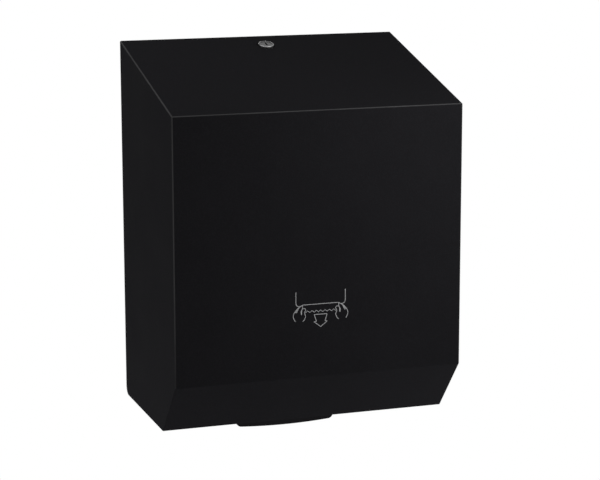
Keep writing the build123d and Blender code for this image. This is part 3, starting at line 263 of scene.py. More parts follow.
class DispenserSizes(bpy.types.PropertyGroup):
    """Sizes of the pieces that are added to the frame"""

    sign_line: length_property("Sign line", "Width of the printed lines", 0.75 * MM)
    sign_rise: length_property("Sign rise", "How far the print stands above the coat", 0.05 * MM)
    weld_width: length_property("Weld width", "Diameter of a spot weld", 5.0 * MM)
    weld_rise: length_property("Weld rise", "Height of a spot weld", 0.25 * MM)
    weld_span: length_property("Weld span", "Length of a row of spot welds", 20.0 * MM)
    rib_width: length_property("Rib width", "Width of a rib on the grip bands", 1.1 * MM)
    rib_rise: length_property("Rib rise", "Height of a rib on the grip bands", 0.16 * MM)
    rib_angle: bpy.props.FloatProperty(
        name="Rib angle", description="Turn from one rib to the next", subtype="ANGLE",
        default=math.radians(4.0),
    )
    arm_wire: length_property("Arm spring wire", "Wire of the springs at the roll arms", 1.2 * MM)
    arm_coil: length_property("Arm spring coil", "Middle diameter of those springs", 9.0 * MM)
    arm_leg: length_property("Arm spring leg", "Straight end that lies on the arm", 16.0 * MM)
    arm_turns: level_property("Arm spring turns", "Turns of those springs", 5.0)
    pinch_wire: length_property("Pinch spring wire", "Wire of the springs at the pinch roller", 1.0 * MM)
    pinch_coil: length_property("Pinch spring coil", "Middle diameter of those springs", 7.0 * MM)
    pinch_leg: length_property("Pinch spring leg", "Straight end of those springs", 1.0 * MM)
    pinch_turns: level_property("Pinch spring turns", "Turns of those springs", 4.0)
    pinch_start: length_property("Pinch spring start", "From the roller's axis to the spring", 9.1 * MM)
    pinch_length: length_property("Pinch spring length", "Length of the wound part", 7.6 * MM)


class DispenserStudio(bpy.types.PropertyGroup):
    """Light, floor and camera"""

    floor_drop: length_property("Floor drop", "Height of the origin above the floor", 0.75)
    sky: level_property("Sky", "Even light from all round", 0.3)
    key: level_property("Key lamp", "Lamp in front, high on the right", 3.0)
    left_low: level_property("Left low lamp", "Lamp low on the left", 2.1)
    right_low: level_property("Right low lamp", "Lamp low on the right", 3.6)
    left_high: level_property("Left high lamp", "Lamp high on the left", 2.1)
    front: level_property("Front lamp", "Small lamp close in front of the upper edge", 0.75)
    rear: level_property("Rear lamp", "Lamp behind the object, for views from there", 6.0)
    lens: bpy.props.FloatProperty(
        name="Lens", description="Focal length of the camera", unit="CAMERA", default=120.96
    )


def add(tree, kind, values=None, **settings):
    """A new node with its settings. Values fill inputs by name or number, and a socket is linked."""
    node = tree.nodes.new(kind)
    for name, setting in settings.items():
        setattr(node, name, setting)
    for key, value in (values or {}).items():
        if isinstance(value, bpy.types.NodeSocket):
            tree.links.new(value, node.inputs[key])
        else:
            node.inputs[key].default_value = value
    return node


def math_node(tree, operation, *values):
    """A Math node fed by sockets or plain numbers; returns its output."""
    return add(tree, "ShaderNodeMath", dict(enumerate(values)), operation=operation).outputs[0]


def vector_node(tree, operation, *values):
    """A Vector Math node fed by sockets or plain vectors; returns its output."""
    node = add(tree, "ShaderNodeVectorMath", dict(enumerate(values)), operation=operation)
    return node.outputs["Value" if operation in ("DOT_PRODUCT", "LENGTH") else "Vector"]


def vector_from(tree, **parts):
    """A vector made of X, Y and Z parts, which are sockets or plain numbers; returns its output."""
    return add(tree, "ShaderNodeCombineXYZ", parts).outputs[0]


def vector_part(tree, vector, name):
    """The X, Y or Z part of a vector socket."""
    return add(tree, "ShaderNodeSeparateXYZ", {0: vector}).outputs[name]


def level_length(tree, vector):
    """How far a place lies from the Z axis; returns its output."""
    return vector_node(tree, "LENGTH", vector_node(tree, "MULTIPLY", vector, (1.0, 1.0, 0.0)))


def stretch_range(tree, value, between, to=(0.0, 1.0)):
    """Maps a value from one range to another, held at its ends; returns its output."""
    limits = dict(zip(("From Min", "From Max", "To Min", "To Max"), (*between, *to)))
    return add(tree, "ShaderNodeMapRange", {"Value": value, **limits}).outputs["Result"]


def mix_colours(tree, factor, first, second):
    """A mix of two colours or colour sockets by a factor socket; returns its output."""
    values = {MIX_FACTOR: factor, MIX_FIRST: first, MIX_SECOND: second}
    return add(tree, "ShaderNodeMix", values, data_type="RGBA").outputs[MIX_RESULT]


def shade(colour, factor=1.0):
    """A colour times a factor, with alpha."""
    return tuple(min(1.0, part * factor) for part in colour) + (1.0,)


def fill_fine_grain(group, given):
    """Grain for bump, soft patches for tone and gloss, and larger specks."""
    peel_scale, speck_scale = 0.5, 0.22
    grain_share, peel_share = 0.55, 0.45
    place = given["Vector"]
    scale = math_node(group, "DIVIDE", 1.0, given["Grain size"])
    grain = add(group, "ShaderNodeTexNoise", {
        "Vector": place, "Scale": scale, "Detail": 2.0, "Roughness": 0.6,
    })
    peel = add(group, "ShaderNodeTexVoronoi", {
        "Vector": place, "Scale": math_node(group, "MULTIPLY", scale, peel_scale), "Smoothness": 1.0,
    }, feature="SMOOTH_F1")
    patches = add(group, "ShaderNodeTexNoise", {
        "Vector": place, "Scale": math_node(group, "DIVIDE", 1.0, given["Patch size"]), "Detail": 3.0,
        "Roughness": 0.55,
    })
    specks = add(group, "ShaderNodeTexNoise", {
        "Vector": place, "Scale": math_node(group, "MULTIPLY", scale, speck_scale), "Detail": 1.0,
        "Roughness": 0.4,
    })
    rough = math_node(group, "MULTIPLY", grain.outputs[0], grain_share)
    round_part = math_node(group, "MULTIPLY", peel.outputs["Distance"], peel_share)
    return {
        "Height": math_node(group, "ADD", rough, round_part),
        "Patches": patches.outputs[0],
        "Specks": specks.outputs[0],
    }


def fill_drawn_lines(group, given):
    """Fine lines along one direction, as drawing or grinding leaves them."""
    stretched = vector_node(group, "MULTIPLY", given["Vector"], given["Lines"])
    fine = add(group, "ShaderNodeTexNoise", {
        "Vector": stretched, "Scale": 1.0, "Detail": 4.0, "Roughness": 0.7,
    })
    broad = add(group, "ShaderNodeTexNoise", {
        "Vector": stretched, "Scale": 0.12, "Detail": 2.0, "Roughness": 0.5,
    })
    return {"Height": fine.outputs[0], "Tone": broad.outputs[0]}


def fill_turned_rings(group, given):
    """Rings round the Z axis of the given place, as a lathe leaves them."""
    wave_share, spread_scale = 0.25, 0.7
    radius = level_length(group, given["Vector"])
    turns = math_node(group, "DIVIDE", radius, given["Ring pitch"])
    wave = math_node(group, "SINE", math_node(group, "MULTIPLY", turns, 2 * math.pi))
    spread = add(group, "ShaderNodeTexNoise", {
        "Scale": 1.0, "Detail": 3.0, "W": math_node(group, "MULTIPLY", turns, spread_scale),
    }, noise_dimensions="1D")
    low_wave = math_node(group, "MULTIPLY", wave, wave_share)
    return {
        "Height": math_node(group, "ADD", low_wave, spread.outputs[0]),
        "Tone": spread.outputs[0],
        "Radius": radius,
    }


def fill_edge_rub(group, given):
    """1 along the outer edges of a piece, where hands rub them, and 0 on its faces and in its corners."""
    breaks = 0.12
    width = given["Width"]
    depth = add(
        group, "ShaderNodeAmbientOcclusion", {"Distance": width},
        inside=True, only_local=True, samples=RUB_SAMPLES,
    )
    edge = stretch_range(group, depth.outputs["AO"], (0.55, 0.92), (1.0, 0.0))
    broken = add(group, "ShaderNodeTexNoise", {
        "Vector": given["Vector"], "Scale": math_node(group, "DIVIDE", breaks, width), "Detail": 3.0,
        "Roughness": 0.6,
    })
    uneven = stretch_range(group, broken.outputs[0], (0.35, 0.6), (0.35, 1.0))
    return {"Rub": math_node(group, "MULTIPLY", edge, uneven)}


# Shared shader groups: what fills them, their inputs and their outputs
SHADER_GROUPS = {
    "Fine grain": (
        fill_fine_grain,
        {"Vector": VECTOR, "Grain size": NUMBER, "Patch size": NUMBER},
        ("Height", "Patches", "Specks"),
    ),
    "Drawn lines": (fill_drawn_lines, {"Vector": VECTOR, "Lines": VECTOR}, ("Height", "Tone")),
    "Turned rings": (
        fill_turned_rings, {"Vector": VECTOR, "Ring pitch": NUMBER}, ("Height", "Tone", "Radius"),
    ),
    "Edge rub": (fill_edge_rub, {"Vector": VECTOR, "Width": NUMBER}, ("Rub",)),
}


def shader_group(name):
    """A shared shader group, built the first time that it is asked for."""
    if name in bpy.data.node_groups:
        return bpy.data.node_groups[name]
    fill, inputs, outputs = SHADER_GROUPS[name]
    group = bpy.data.node_groups.new(name, "ShaderNodeTree")
    for socket_name, kind in inputs.items():
        group.interface.new_socket(name=socket_name, in_out="INPUT", socket_type=kind)
    for socket_name in outputs:
        group.interface.new_socket(name=socket_name, in_out="OUTPUT", socket_type=NUMBER)
    add(group, "NodeGroupOutput", fill(group, add(group, "NodeGroupInput").outputs))
    return group


class Finish:
    """A material with a Principled shader, Object coordinates and, for a given size, the shared grain."""

    def __init__(self, name, grain_size=None, patch_size=None, metallic=0.0, specular=0.5):
        self.material = bpy.data.materials.new(name)
        self.material.use_nodes = True
        self.tree = self.material.node_tree
        self.tree.nodes.clear()
        self.shader = add(
            self.tree, "ShaderNodeBsdfPrincipled", {"Metallic": metallic, "Specular IOR Level": specular}
        )
        add(self.tree, "ShaderNodeOutputMaterial", {"Surface": self.shader.outputs[0]})
        coords = add(self.tree, "ShaderNodeTexCoord")
        self.place = coords.outputs["Object"]
        self.normal = coords.outputs["Normal"]
        if grain_size:
            self.grain = self.group("Fine grain", {"Grain size": grain_size, "Patch size": patch_size})

    def group(self, name, values, place=None):
        """Places a shared group, fed by Object coordinates or another place; returns its outputs."""
        inputs = {"Vector": place or self.place, **values}
        return add(self.tree, "ShaderNodeGroup", inputs, node_tree=shader_group(name)).outputs

    def feed(self, name, socket):
        """Links a socket to an input of the shader."""
        self.tree.links.new(socket, self.shader.inputs[name])

    def colour(self, socket):
        """Sets the colour."""
        self.feed("Base Color", socket)

    def patched_colour(self, colour, spread):
        """The colour, a little lighter and darker in soft patches; returns its socket."""
        soft = stretch_range(self.tree, self.grain["Patches"], (0.35, 0.65))
        return mix_colours(self.tree, soft, shade(colour, 1.0 - spread), shade(colour, 1.0 + spread))

    def rubbed_colour(self, tone, rub_and_highlight, width):
        """A colour socket with another colour along the outer edges; returns its socket."""
        edges = self.group("Edge rub", {"Width": width})
        return mix_colours(self.tree, edges["Rub"], tone, rub_and_highlight)

    def gloss(self, low, high, source=None):
        """Roughness that follows the patches, or another value."""
        value = source or self.grain["Patches"]
        self.feed("Roughness", stretch_range(self.tree, value, (0.3, 0.7), (low, high)))

    def bump(self, depth, height=None, corner=None):
        """Bump of the given depth in metres, from the grain or another height, over rounded corners."""
        relief = {"Distance": depth, "Height": height or self.grain["Height"]}
        if corner:
            soft = add(self.tree, "ShaderNodeBevel", {"Radius": corner}, samples=CORNER_SAMPLES)
            relief["Normal"] = soft.outputs[0]
        self.feed("Normal", add(self.tree, "ShaderNodeBump", relief).outputs[0])


def paint(nodes, material):
    """Gives CAD nodes a material."""
    for name in nodes:
        mesh = frame["nodes"][name].data
        mesh.materials.clear()
        mesh.materials.append(material)


def fold_mask(finish):
    """1 on the outer folds of the cover that face up or sideways, less towards their lower ends, else 0:
    where the painted highlight along the folds goes.
    """
    tree = finish.tree
    lean = math.atan2(SLANT_DEPTH, SLANT_HEIGHT)
    slant = (0.0, math.cos(lean), math.sin(lean))
    nearest = 0.0
    for panel in ((1.0, 0.0, 0.0), (0.0, 1.0, 0.0), (0.0, 0.0, 1.0), tuple(lock_way), slant):
        facing = math_node(tree, "ABSOLUTE", vector_node(tree, "DOT_PRODUCT", finish.normal, panel))
        nearest = math_node(tree, "MAXIMUM", nearest, facing)
    mask = stretch_range(tree, nearest, (0.93, 0.995), (1.0, 0.0))
    not_below = stretch_range(tree, vector_part(tree, finish.normal, "Z"), (-0.3, -0.05))
    from_middle = vector_node(tree, "SUBTRACT", finish.place, (cover_low + cover_high) / 2)
    outward = vector_node(tree, "DOT_PRODUCT", from_middle, finish.normal)
    outside = math_node(tree, "GREATER_THAN", outward, 0.0)
    foot = cover_low.z + SLANT_HEIGHT
    height = vector_part(tree, finish.place, "Z")
    rising = stretch_range(tree, height, (foot, foot + FOLD_FADE), (FOLD_LEAST, 1.0))
    for part in (not_below, outside, rising):
        mask = math_node(tree, "MULTIPLY", mask, part)
    return mask


def powder_coat(colours, name, folds):
    """Matt black powder coat: fine orange peel, soft patches and a painted highlight along the folds, or
    else worn edges.
    """
    finish = Finish(name, grain_size=0.7 * MM, patch_size=55 * MM, specular=0.001)
    tree = finish.tree
    peaks = stretch_range(tree, finish.grain["Height"], (0.4, 0.6), (0.0, 0.22))
    tone = finish.patched_colour(colours.powder, spread=0.04)
    tone = mix_colours(tree, peaks, tone, shade(colours.powder, 2.0))
    if folds:
        # Painted highlight along the cover's folds that face up or sideways, in the lighter fold colour,
        # broken up by the patches
        uneven = stretch_range(tree, finish.grain["Patches"], (0.3, 0.7), (0.65, 1.0))
        rub_and_highlight = math_node(tree, "MULTIPLY", fold_mask(finish), uneven)
        finish.colour(mix_colours(tree, rub_and_highlight, tone, shade(colours.fold_highlight_and_rub)))
    else:
        finish.colour(finish.rubbed_colour(tone, shade(colours.fold_highlight_and_rub), width=0.8 * MM))
    finish.gloss(0.50, 0.60)
    finish.bump(0.10 * MM, corner=None if folds else 0.5 * MM)
    return finish.material


def moulded_plastic(name, colour, roughness, specular):
    """Moulded plastic with a fine eroded texture and edges worn paler."""
    finish = Finish(name, grain_size=0.45 * MM, patch_size=25 * MM, specular=specular)
    tone = finish.patched_colour(colour, spread=0.07)
    finish.colour(finish.rubbed_colour(tone, shade(colour, 2.2), width=0.9 * MM))
    finish.gloss(roughness - 0.06, roughness + 0.06)
    finish.bump(0.03 * MM, corner=0.5 * MM)
    return finish.material


def zinc_plate(colour):
    """Zinc plating: small cloudy crystals, a dull shine and brighter edges."""
    finish = Finish("Zinc plate", grain_size=0.35 * MM, patch_size=2.5 * MM, metallic=1.0)
    tone = finish.patched_colour(colour, spread=0.12)
    finish.colour(finish.rubbed_colour(tone, shade(colour, 1.35), width=0.5 * MM))
    finish.gloss(0.28, 0.44)
    finish.bump(0.006 * MM, corner=0.3 * MM)
    return finish.material


def lined_steel(name, colour, lines, smooth, dull):
    """Steel with fine lines along one direction, and plain sawn ends."""
    finish = Finish(name, metallic=1.0)
    tree = finish.tree
    marks = finish.group("Drawn lines", {"Lines": lines})
    facing_end = math_node(tree, "ABSOLUTE", vector_part(tree, finish.normal, "X"))
    sides = stretch_range(tree, facing_end, (0.5, 0.9), (1.0, 0.0))
    even = stretch_range(tree, sides, (0.0, 1.0), (0.5, 0.0))
    streaks = math_node(tree, "ADD", math_node(tree, "MULTIPLY", marks["Tone"], sides), even)
    finish.colour(mix_colours(tree, streaks, shade(colour, 0.82), shade(colour, 1.12)))
    finish.gloss(smooth, dull, streaks)
    finish.bump(0.008 * MM, math_node(tree, "MULTIPLY", marks["Height"], sides), corner=0.3 * MM)
    return finish.material


def lock_plating(colour, rim):
    """Satin plating with turned rings round the lock's own axis, and a painted highlight on the front of
    its rim.
    """
    finish = Finish("Lock plating", metallic=1.0)
    tree = finish.tree
    place = add(tree, "ShaderNodeMapping", {
        "Vector": finish.place, "Location": tuple(lock_axis), "Rotation": (lock_tilt, 0.0, 0.0),
    }, vector_type="TEXTURE").outputs[0]
    rings = finish.group("Turned rings", {"Ring pitch": 0.32 * MM}, place)
    tone = mix_colours(tree, rings["Tone"], shade(colour, 0.8), shade(colour, 1.2))
    # Painted highlight: the rim's front is painted bright, fading towards the back
    outside = stretch_range(tree, rings["Radius"], LOCK_RIM)
    in_front = stretch_range(tree, vector_part(tree, place, "Y"), LOCK_RIM_HIGHLIGHT, (1.0, LOCK_RIM_HIGHLIGHT_LEAST))
    rub_and_highlight = math_node(tree, "MULTIPLY", outside, in_front)
    finish.colour(mix_colours(tree, rub_and_highlight, tone, shade(rim)))
    finish.gloss(0.26, 0.40, rings["Tone"])
    finish.bump(0.01 * MM, rings["Height"])
    return finish.material


def spring_wire(colour):
    """Drawn and oiled spring wire."""
    finish = Finish("Spring wire", grain_size=0.15 * MM, patch_size=3 * MM, metallic=1.0)
    finish.colour(finish.patched_colour(colour, spread=0.15))
    finish.gloss(0.24, 0.38)
    finish.bump(0.004 * MM)
    return finish.material


def rubber(colour):
    """Matt rubber with a dusty bloom."""
    finish = Finish("Rubber", grain_size=0.4 * MM, patch_size=9 * MM, specular=0.2)
    bloom = stretch_range(finish.tree, finish.grain["Specks"], (0.45, 0.75))
    tone = finish.patched_colour(colour, spread=0.12)
    finish.colour(mix_colours(finish.tree, bloom, tone, shade(colour, 1.7)))
    finish.gloss(0.72, 0.86)
    finish.bump(0.04 * MM)
    return finish.material


def nylon(colour):
    """Natural nylon, slightly cloudy."""
    finish = Finish("Nylon", grain_size=0.5 * MM, patch_size=6 * MM, specular=0.4)
    finish.colour(finish.patched_colour(colour, spread=0.06))
    finish.gloss(0.36, 0.48)
    finish.bump(0.012 * MM)
    return finish.material


def sign_ink(colour):
    """Screen-printed ink, slightly uneven."""
    finish = Finish("Sign ink", grain_size=0.3 * MM, patch_size=3 * MM, specular=0.1)
    finish.colour(finish.patched_colour(colour, spread=0.06))
    finish.gloss(0.52, 0.66)
    finish.bump(0.01 * MM)
    return finish.material


def geometry_tree(name, inputs):
    """A new Geometry Nodes tree with named inputs and a material, and what those inputs give."""
    tree = bpy.data.node_groups.new(name, "GeometryNodeTree")
    for socket_name, kind in {"Geometry": GEOMETRY, **inputs, "Material": MATERIAL}.items():
        tree.interface.new_socket(name=socket_name, in_out="INPUT", socket_type=kind)
    tree.interface.new_socket(name="Geometry", in_out="OUTPUT", socket_type=GEOMETRY)
    return tree, add(tree, "NodeGroupInput").outputs


def close_tree(tree, geometry, material):
    """Ends a tree in smooth shading, Realize Instances and Set Material."""
    smooth = add(tree, "GeometryNodeSetShadeSmooth", {"Geometry": geometry})
    real = add(tree, "GeometryNodeRealizeInstances", {"Geometry": smooth.outputs[0]})
    coat = add(tree, "GeometryNodeSetMaterial", {"Geometry": real.outputs[0], "Material": material})
    add(tree, "NodeGroupOutput", {"Geometry": coat.outputs[0]})
    return tree


def moved(tree, geometry, **place):
    """Geometry with a Rotation, Scale or Translation, from sockets or plain vectors; returns its output."""
    return add(tree, "GeometryNodeTransform", {"Geometry": geometry, **place}).outputs[0]


def joined(tree, *parts):
    """Several geometries in one; returns its output."""
    node = add(tree, "GeometryNodeJoinGeometry")
    for part in parts:
        tree.links.new(part, node.inputs[0])
    return node.outputs[0]


def half_of(tree, size):
    """Half of a size; returns its output."""
    return math_node(tree, "MULTIPLY", size, 0.5)


def tube_along(tree, curve, radius):
    """A closed round tube along a curve; returns its output."""
    profile = add(tree, "GeometryNodeCurvePrimitiveCircle", {
        "Resolution": TUBE_SIDES, "Radius": radius,
    }, mode="RADIUS")
    tube = {"Curve": curve, "Profile Curve": profile.outputs["Curve"], "Fill Caps": True}
    return add(tree, "GeometryNodeCurveToMesh", tube).outputs[0]


def stroke_tree():
    """Printed lines: each curve becomes a flat raised line on the front of the cover."""
    tree, given = geometry_tree("Sign strokes", {"Line width": NUMBER, "Rise": NUMBER, "Front": NUMBER})
    half = half_of(tree, given["Line width"])
    flat = vector_from(tree, X=1.0, Y=math_node(tree, "DIVIDE", given["Rise"], half), Z=1.0)
    front = vector_from(tree, Y=given["Front"])
    pressed = moved(tree, tube_along(tree, given["Geometry"], half), Scale=flat, Translation=front)
    return close_tree(tree, pressed, given["Material"])


def weld_tree():
    """Spot welds: a grid of low domes on the inner face of each hinge bracket."""
    tree, given = geometry_tree("Weld spots", {
        "Width": NUMBER, "Rise": NUMBER, "Span": NUMBER, "Left place": VECTOR, "Right place": VECTOR,
    })
    grid = add(tree, "GeometryNodeMeshGrid", {
        "Vertices X": 3, "Vertices Y": 2, "Size X": given["Span"], "Size Y": half_of(tree, given["Span"]),
    }).outputs["Mesh"]
    upright = (math.radians(90), 0.0, math.radians(90))
    left = moved(tree, grid, Rotation=upright, Translation=given["Left place"])
    right = moved(tree, grid, Rotation=upright, Translation=given["Right place"])
    points = joined(tree, left, right)
    half = half_of(tree, given["Width"])
    dome = add(tree, "GeometryNodeMeshUVSphere", {
        "Segments": DOME_SEGMENTS, "Rings": DOME_RINGS, "Radius": half,
    })
    flat = vector_from(tree, X=math_node(tree, "DIVIDE", given["Rise"], half), Y=1.0, Z=1.0)
    spots = add(tree, "GeometryNodeInstanceOnPoints", {
        "Points": points, "Instance": dome.outputs["Mesh"], "Scale": flat,
    })
    return close_tree(tree, spots.outputs[0], given["Material"])


def rib_tree():
    """Ribs across the rubber bands of the drum: a ring of bars, repeated on each band."""
    tree, given = geometry_tree("Grip ribs", {
        "Bands": WHOLE, "First band": VECTOR, "Band step": VECTOR, "Band width": NUMBER, "Radius": NUMBER,
        "Ribs": WHOLE, "First angle": NUMBER, "Rib angle": NUMBER, "Rib width": NUMBER, "Rib rise": NUMBER,
    })
    index = add(tree, "GeometryNodeInputIndex").outputs[0]
    turn = math_node(tree, "MULTIPLY", index, given["Rib angle"])
    angle = math_node(tree, "ADD", turn, given["First angle"])
    spot = vector_from(
        tree,
        Y=math_node(tree, "MULTIPLY", math_node(tree, "COSINE", angle), given["Radius"]),
        Z=math_node(tree, "MULTIPLY", math_node(tree, "SINE", angle), given["Radius"]),
    )
    points = add(tree, "GeometryNodePoints", {"Count": given["Ribs"]})
    placed = add(tree, "GeometryNodeSetPosition", {"Geometry": points.outputs[0], "Position": spot})
    half = half_of(tree, given["Rib width"])
    bar = add(tree, "GeometryNodeMeshCylinder", {
        "Vertices": RIB_SIDES, "Radius": half, "Depth": given["Band width"],
    })
    laid = moved(tree, bar.outputs["Mesh"], Rotation=(0.0, math.radians(90), 0.0))
    flat = vector_from(tree, X=1.0, Y=math_node(tree, "DIVIDE", given["Rib rise"], half), Z=1.0)
    ring = add(tree, "GeometryNodeInstanceOnPoints", {
        "Points": placed.outputs[0], "Instance": moved(tree, laid, Scale=flat),
        "Rotation": vector_from(tree, X=angle),
    })
    line = add(tree, "GeometryNodeMeshLine", {
        "Count": given["Bands"], "Start Location": given["First band"], "Offset": given["Band step"],
    }, mode="OFFSET")
    bands = add(tree, "GeometryNodeInstanceOnPoints", {
        "Points": line.outputs[0], "Instance": ring.outputs[0],
    })
    return close_tree(tree, bands.outputs[0], given["Material"])


def coil_tree():
    """A wound spring with one straight end, turned and moved to its place."""
    tree, given = geometry_tree("Wound spring", {
        "Radius": NUMBER, "Wire": NUMBER, "Turns": NUMBER, "Height": NUMBER, "Leg": VECTOR,
        "Left-handed": SWITCH, "Turn": VECTOR, "Place": VECTOR,
    })
    wound = add(tree, "GeometryNodeCurveSpiral", {
        "Resolution": TURN_STEPS, "Rotations": given["Turns"], "Start Radius": given["Radius"],
        "End Radius": given["Radius"], "Height": given["Height"], "Reverse": given["Left-handed"],
    })
    tip = vector_from(tree, X=given["Radius"], Z=given["Height"])
    leg = add(tree, "GeometryNodeCurvePrimitiveLine", {
        "Start": tip, "End": vector_node(tree, "ADD", tip, given["Leg"]),
    }, mode="POINTS")
    wire = joined(tree, wound.outputs[0], leg.outputs[0])
    tube = tube_along(tree, wire, half_of(tree, given["Wire"]))
    placed = moved(tree, tube, Rotation=given["Turn"], Translation=given["Place"])
    return close_tree(tree, placed, given["Material"])


def make_piece(name, tree, values, body=None, data=None):
    """Runs a tree on data or an empty mesh, and keeps the result as a plain mesh piece at the origin."""
    maker = bpy.data.objects.new(name + "_maker", data or bpy.data.meshes.new(name + "_maker"))
    bpy.context.scene.collection.objects.link(maker)
    modifier = maker.modifiers.new("Nodes", "NODES")
    modifier.node_group = tree
    for item in tree.interface.items_tree:
        if item.in_out == "INPUT" and item.name in values:
            modifier[item.identifier] = values[item.name]
    bpy.context.view_layer.update()
    graph = bpy.context.evaluated_depsgraph_get()
    mesh = bpy.data.meshes.new_from_object(maker.evaluated_get(graph), depsgraph=graph)
    if not mesh.polygons:
        raise RuntimeError(f"{name} came out empty")
    mesh.name = name
    piece = bpy.data.objects.new(name, mesh)
    bpy.context.scene.collection.objects.link(piece)
    bpy.data.objects.remove(maker)
    if body:
        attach(piece, body)
    return piece


def sign_point(across, height, side=1):
    """A place of the sign, in metres, on the plane y = 0."""
    return (side * across * MM, 0.0, cover_low.z + height * MM)


def add_stroke(curve, points, soft):
    """A stroke of the sign: a smooth spline, or straight runs."""
    spline = curve.splines.new("NURBS" if soft else "POLY")
    spline.points.add(len(points) - 1)
    for point, place in zip(spline.points, points):
        point.co = (*place, 1.0)
    if soft:
        spline.order_u = 3
        spline.use_endpoint_u = True


class DISPENSER_OT_paint_cover(bpy.types.Operator):
    """Coats the cover, its hinge brackets and the wall plate"""

    bl_idname = "dispenser.paint_cover"
    bl_label = "Coat cover and wall plate"

    def execute(self, context):
        colours = context.scene.dispenser_colours
        paint(("cover_shell",), powder_coat(colours, "Powder coat on folds", True))
        paint(POWDER_NODES, powder_coat(colours, "Powder coat", False))
        return {"FINISHED"}


class DISPENSER_OT_paint_plastics(bpy.types.Operator):
    """Finishes the moulded plastic, nylon and rubber pieces"""

    bl_idname = "dispenser.paint_plastics"
    bl_label = "Finish plastics and rubber"

    def execute(self, context):
        colours = context.scene.dispenser_colours
        for nodes, name, colour, roughness, specular in (
            (LIP_NODES, "Matt black plastic", colours.lip, 0.60, 0.002),
            (BLACK_PLASTIC_NODES, "Black plastic", colours.black_plastic, 0.50, 0.2),
            (GREY_PLASTIC_NODES, "Grey plastic", colours.grey_plastic, 0.46, 0.3),
        ):
            paint(nodes, moulded_plastic(name, colour, roughness, specular))
        paint(NYLON_NODES, nylon(colours.nylon))
        paint(RUBBER_NODES, rubber(colours.rubber))
        return {"FINISHED"}


class DISPENSER_OT_paint_metals(bpy.types.Operator):
    """Finishes the fasteners, rods, lock, blade and springs"""

    bl_idname = "dispenser.paint_metals"
    bl_label = "Finish bare metals"

    def execute(self, context):
        colours = context.scene.dispenser_colours
        along_x = (40.0, 3500.0, 3500.0)
        across_blade = (4200.0, 90.0, 90.0)
        paint(ZINC_NODES, zinc_plate(colours.zinc))
        paint(DRAWN_STEEL_NODES, lined_steel("Drawn steel", colours.drawn_steel, along_x, 0.20, 0.36))
        paint(("knife_blade",), lined_steel("Ground blade", colours.blade, across_blade, 0.22, 0.34))
        paint(LOCK_NODES, lock_plating(colours.lock, colours.lock_rim_highlight))
        paint(SPRING_NODES, spring_wire(colours.wire))
        return {"FINISHED"}


class DISPENSER_OT_print_sign(bpy.types.Operator):
    """Prints the sign of two hands that pull a towel down"""

    bl_idname = "dispenser.print_sign"
    bl_label = "Print sign"

    def execute(self, context):
        sizes = context.scene.dispenser_sizes
        curve = bpy.data.curves.new("pull_sign", "CURVE")
        curve.dimensions = "3D"
        curve.resolution_u = SPLINE_STEPS
        for side in (1, -1):
            for stroke in SOFT_STROKES:
                add_stroke(curve, [sign_point(x, z, side) for x, z in stroke], True)
            for first, second in zip(ARROW_HALF, ARROW_HALF[1:]):
                add_stroke(curve, [sign_point(*first, side), sign_point(*second, side)], False)
        add_stroke(curve, [sign_point(x, z) for x, z in TOWEL_EDGE], False)
        step = TEAR_HALF_WIDTH / TEAR_WAVES
        tear = [
            sign_point(-TEAR_HALF_WIDTH + number * step, TEAR_HEIGHT + TEAR_DEPTH * (number % 2 - 0.5))
            for number in range(2 * TEAR_WAVES + 1)
        ]
        add_stroke(curve, tear, False)
        make_piece("pull_sign", stroke_tree(), {
            "Line width": sizes.sign_line,
            "Rise": sizes.sign_rise,
            "Front": cover_low.y,
            "Material": sign_ink(context.scene.dispenser_colours.sign),
        }, "cover", curve)
        return {"FINISHED"}


class DISPENSER_OT_add_welds(bpy.types.Operator):
    """Adds the spot welds that hold the hinge brackets inside the cover"""

    bl_idname = "dispenser.add_welds"
    bl_label = "Add spot welds"

    def execute(self, context):
        sizes = context.scene.dispenser_sizes
        height = leaf_low.z + WELD_UP * (leaf_high.z - leaf_low.z)
        depth = leaf_low.y + WELD_ALONG * (leaf_high.y - leaf_low.y)
        piece = make_piece("weld_spots", weld_tree(), {
            "Width": sizes.weld_width,
            "Rise": sizes.weld_rise,
            "Span": sizes.weld_span,
            "Left place": (leaf_low.x + LEAF_SHEET, depth, height),
            "Right place": (leaf_high.x - LEAF_SHEET, depth, height),
            "Material": bpy.data.materials["Powder coat"],
        }, "cover")
        return {"FINISHED"}


class DISPENSER_OT_add_grip_ribs(bpy.types.Operator):
    """Adds the ribs across the rubber bands of the drum"""

    bl_idname = "dispenser.add_grip_ribs"
    bl_label = "Add grip ribs"

    def execute(self, context):
        sizes = context.scene.dispenser_sizes
        first = band_low.x + BAND_WIDTH / 2
        step = (band_high.x - band_low.x - BAND_WIDTH) / (BANDS - 1)
        start = math.radians(SLOT_ANGLE + SLOT_LEAD + RIB_MARGIN)
        sweep = math.radians(360.0 - SLOT_LEAD - SLOT_TRAIL - 2 * RIB_MARGIN)
        ribs = int(sweep / sizes.rib_angle)
        spare = (sweep - (ribs - 1) * sizes.rib_angle) / 2
        piece = make_piece("grip_ribs", rib_tree(), {
            "Bands": BANDS,
            "First band": (first, drum_axis.y, drum_axis.z),
            "Band step": (step, 0.0, 0.0),
            "Band width": BAND_WIDTH - 2 * RIB_END_GAP,
            "Radius": (band_high.y - band_low.y) / 2,
            "Ribs": ribs,
            "First angle": start + spare,
            "Rib angle": sizes.rib_angle,
            "Rib width": sizes.rib_width,
            "Rib rise": sizes.rib_rise,
            "Material": bpy.data.materials["Rubber"],
        }, "drum")
        return {"FINISHED"}


